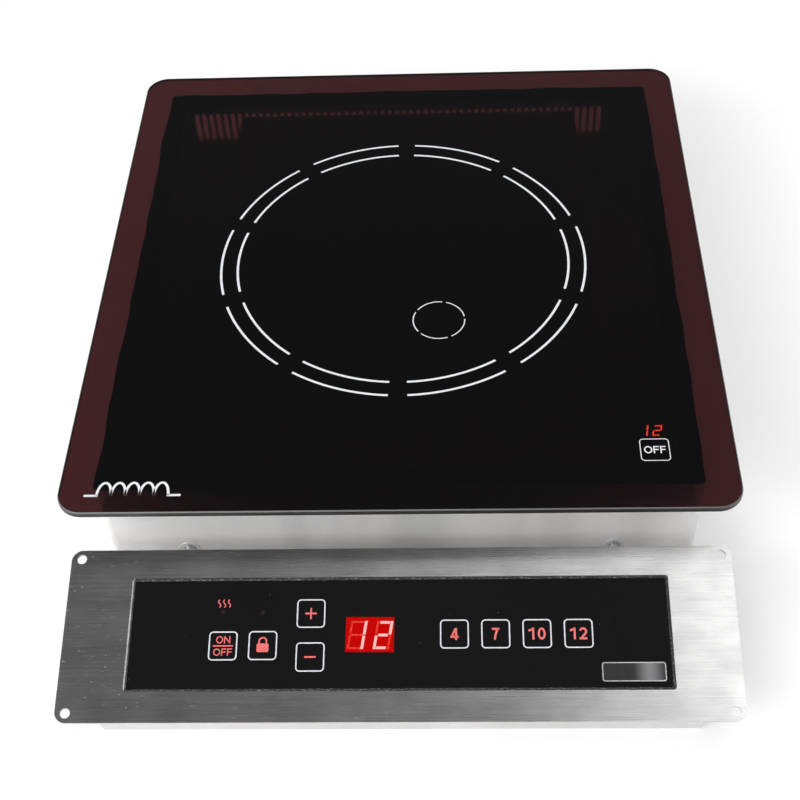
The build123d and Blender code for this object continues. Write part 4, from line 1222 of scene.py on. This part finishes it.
studio_floor = bpy.data.materials.new("studio_floor")
studio_floor.use_nodes = True
tree = studio_floor.node_tree
tree.nodes.remove(tree.nodes["Principled BSDF"])
place = Tone(tree.nodes.new("ShaderNodeTexCoord").outputs["Object"])
seen = seen_rays(tree)
distance = place.node("VectorMath", {"operation": "LENGTH"}, {0: place}, "Value")
far = distance.fade(shadow_reach, white_from)
matt = place.node("BsdfDiffuse", {}, {"Color": floor_white})
glow = place.node("Emission", {}, {"Color": white, "Strength": seen * floor_glow})
plain = place.node("Emission", {}, {"Color": white, "Strength": 1.0})
near = place.node("AddShader", {}, {0: matt, 1: glow})
mixed = place.node("MixShader", {}, {0: seen * far, 1: near, 2: plain})
tree.links.new(mixed.socket, tree.nodes["Material Output"].inputs["Surface"])
floor_mesh.materials.append(studio_floor)
wall_top = 0.40
ceiling_from = 0.54
ceiling_dark = (0.105, 0.105, 0.115)
overhead_from = 0.86
overhead = 0.97
overhead_dark = (0.075, 0.075, 0.080)
room_dim = (0.50, 0.50, 0.50)
room = bpy.data.worlds.new("studio")
room.use_nodes = True
bpy.context.scene.world = room
way = Tone(room.node_tree.nodes.new("ShaderNodeTexCoord").outputs["Generated"])
climb = way.along("Z")
ceiling = climb.fade(overhead_from, overhead).blend(ceiling_dark, overhead_dark)
walls = climb.fade(wall_top, ceiling_from).blend(white, ceiling)
feed(room.node_tree.nodes["Background"], {"Color": seen_rays(room.node_tree).blend(room_dim, walls)})

# Lamps: four soft boxes, one to the left, one in front to the left, one above to the right, which the
# right end of the bezel mirrors, and a small one above the back. Power is in watts.
lamp_aim = Vector((0.0, -0.10, 0.05))
lamps = (
    ("left_box", (-1.9, -0.5, 1.30), 1.8, 1.4, 6.0),
    ("front_box", (-1.15, -1.60, 1.48), 2.0, 0.60, 35.0),
    ("right_box", (0.84, -0.23, 1.78), 0.80, 0.90, 6.0),
    ("back_box", (0.17, 0.42, 1.78), 0.60, 0.35, 4.6),
)
for name, spot, width, height, power in lamps:
    lamp = bpy.data.lights.new(name, "AREA")
    lamp.shape = "RECTANGLE"
    lamp.size = width
    lamp.size_y = height
    lamp.energy = power
    stand = bpy.data.objects.new(name, lamp)
    stand.location = spot
    stand.rotation_euler = (lamp_aim - Vector(spot)).to_track_quat("-Z", "Y").to_euler()
    bpy.context.scene.collection.objects.link(stand)

# Camera: above the front edge and a little to the right, looking down on the plate, and turned a
# few degrees in the hand.
lens = 64.37
film = 36.0
eye = Vector((0.03251, -0.63907, 0.67288))
yaw = math.radians(-3.49)
pitch = math.radians(48.293)
roll = math.radians(3.307)
ahead = Vector((math.sin(yaw) * math.cos(pitch), math.cos(yaw) * math.cos(pitch), -math.sin(pitch)))
level = Vector((math.cos(yaw), -math.sin(yaw), 0.0))
down = ahead.cross(level)
right = math.cos(roll) * level + math.sin(roll) * down
up = math.sin(roll) * level - math.cos(roll) * down
camera_data = bpy.data.cameras.new("camera")
camera_data.lens = lens
camera_data.sensor_width = film
camera = bpy.data.objects.new("camera", camera_data)
camera.matrix_world = Matrix.Translation(eye) @ Matrix((right, up, -ahead)).transposed().to_4x4()
bpy.context.scene.collection.objects.link(camera)
bpy.context.scene.camera = camera
bpy.context.scene.view_settings.view_transform = "Standard"
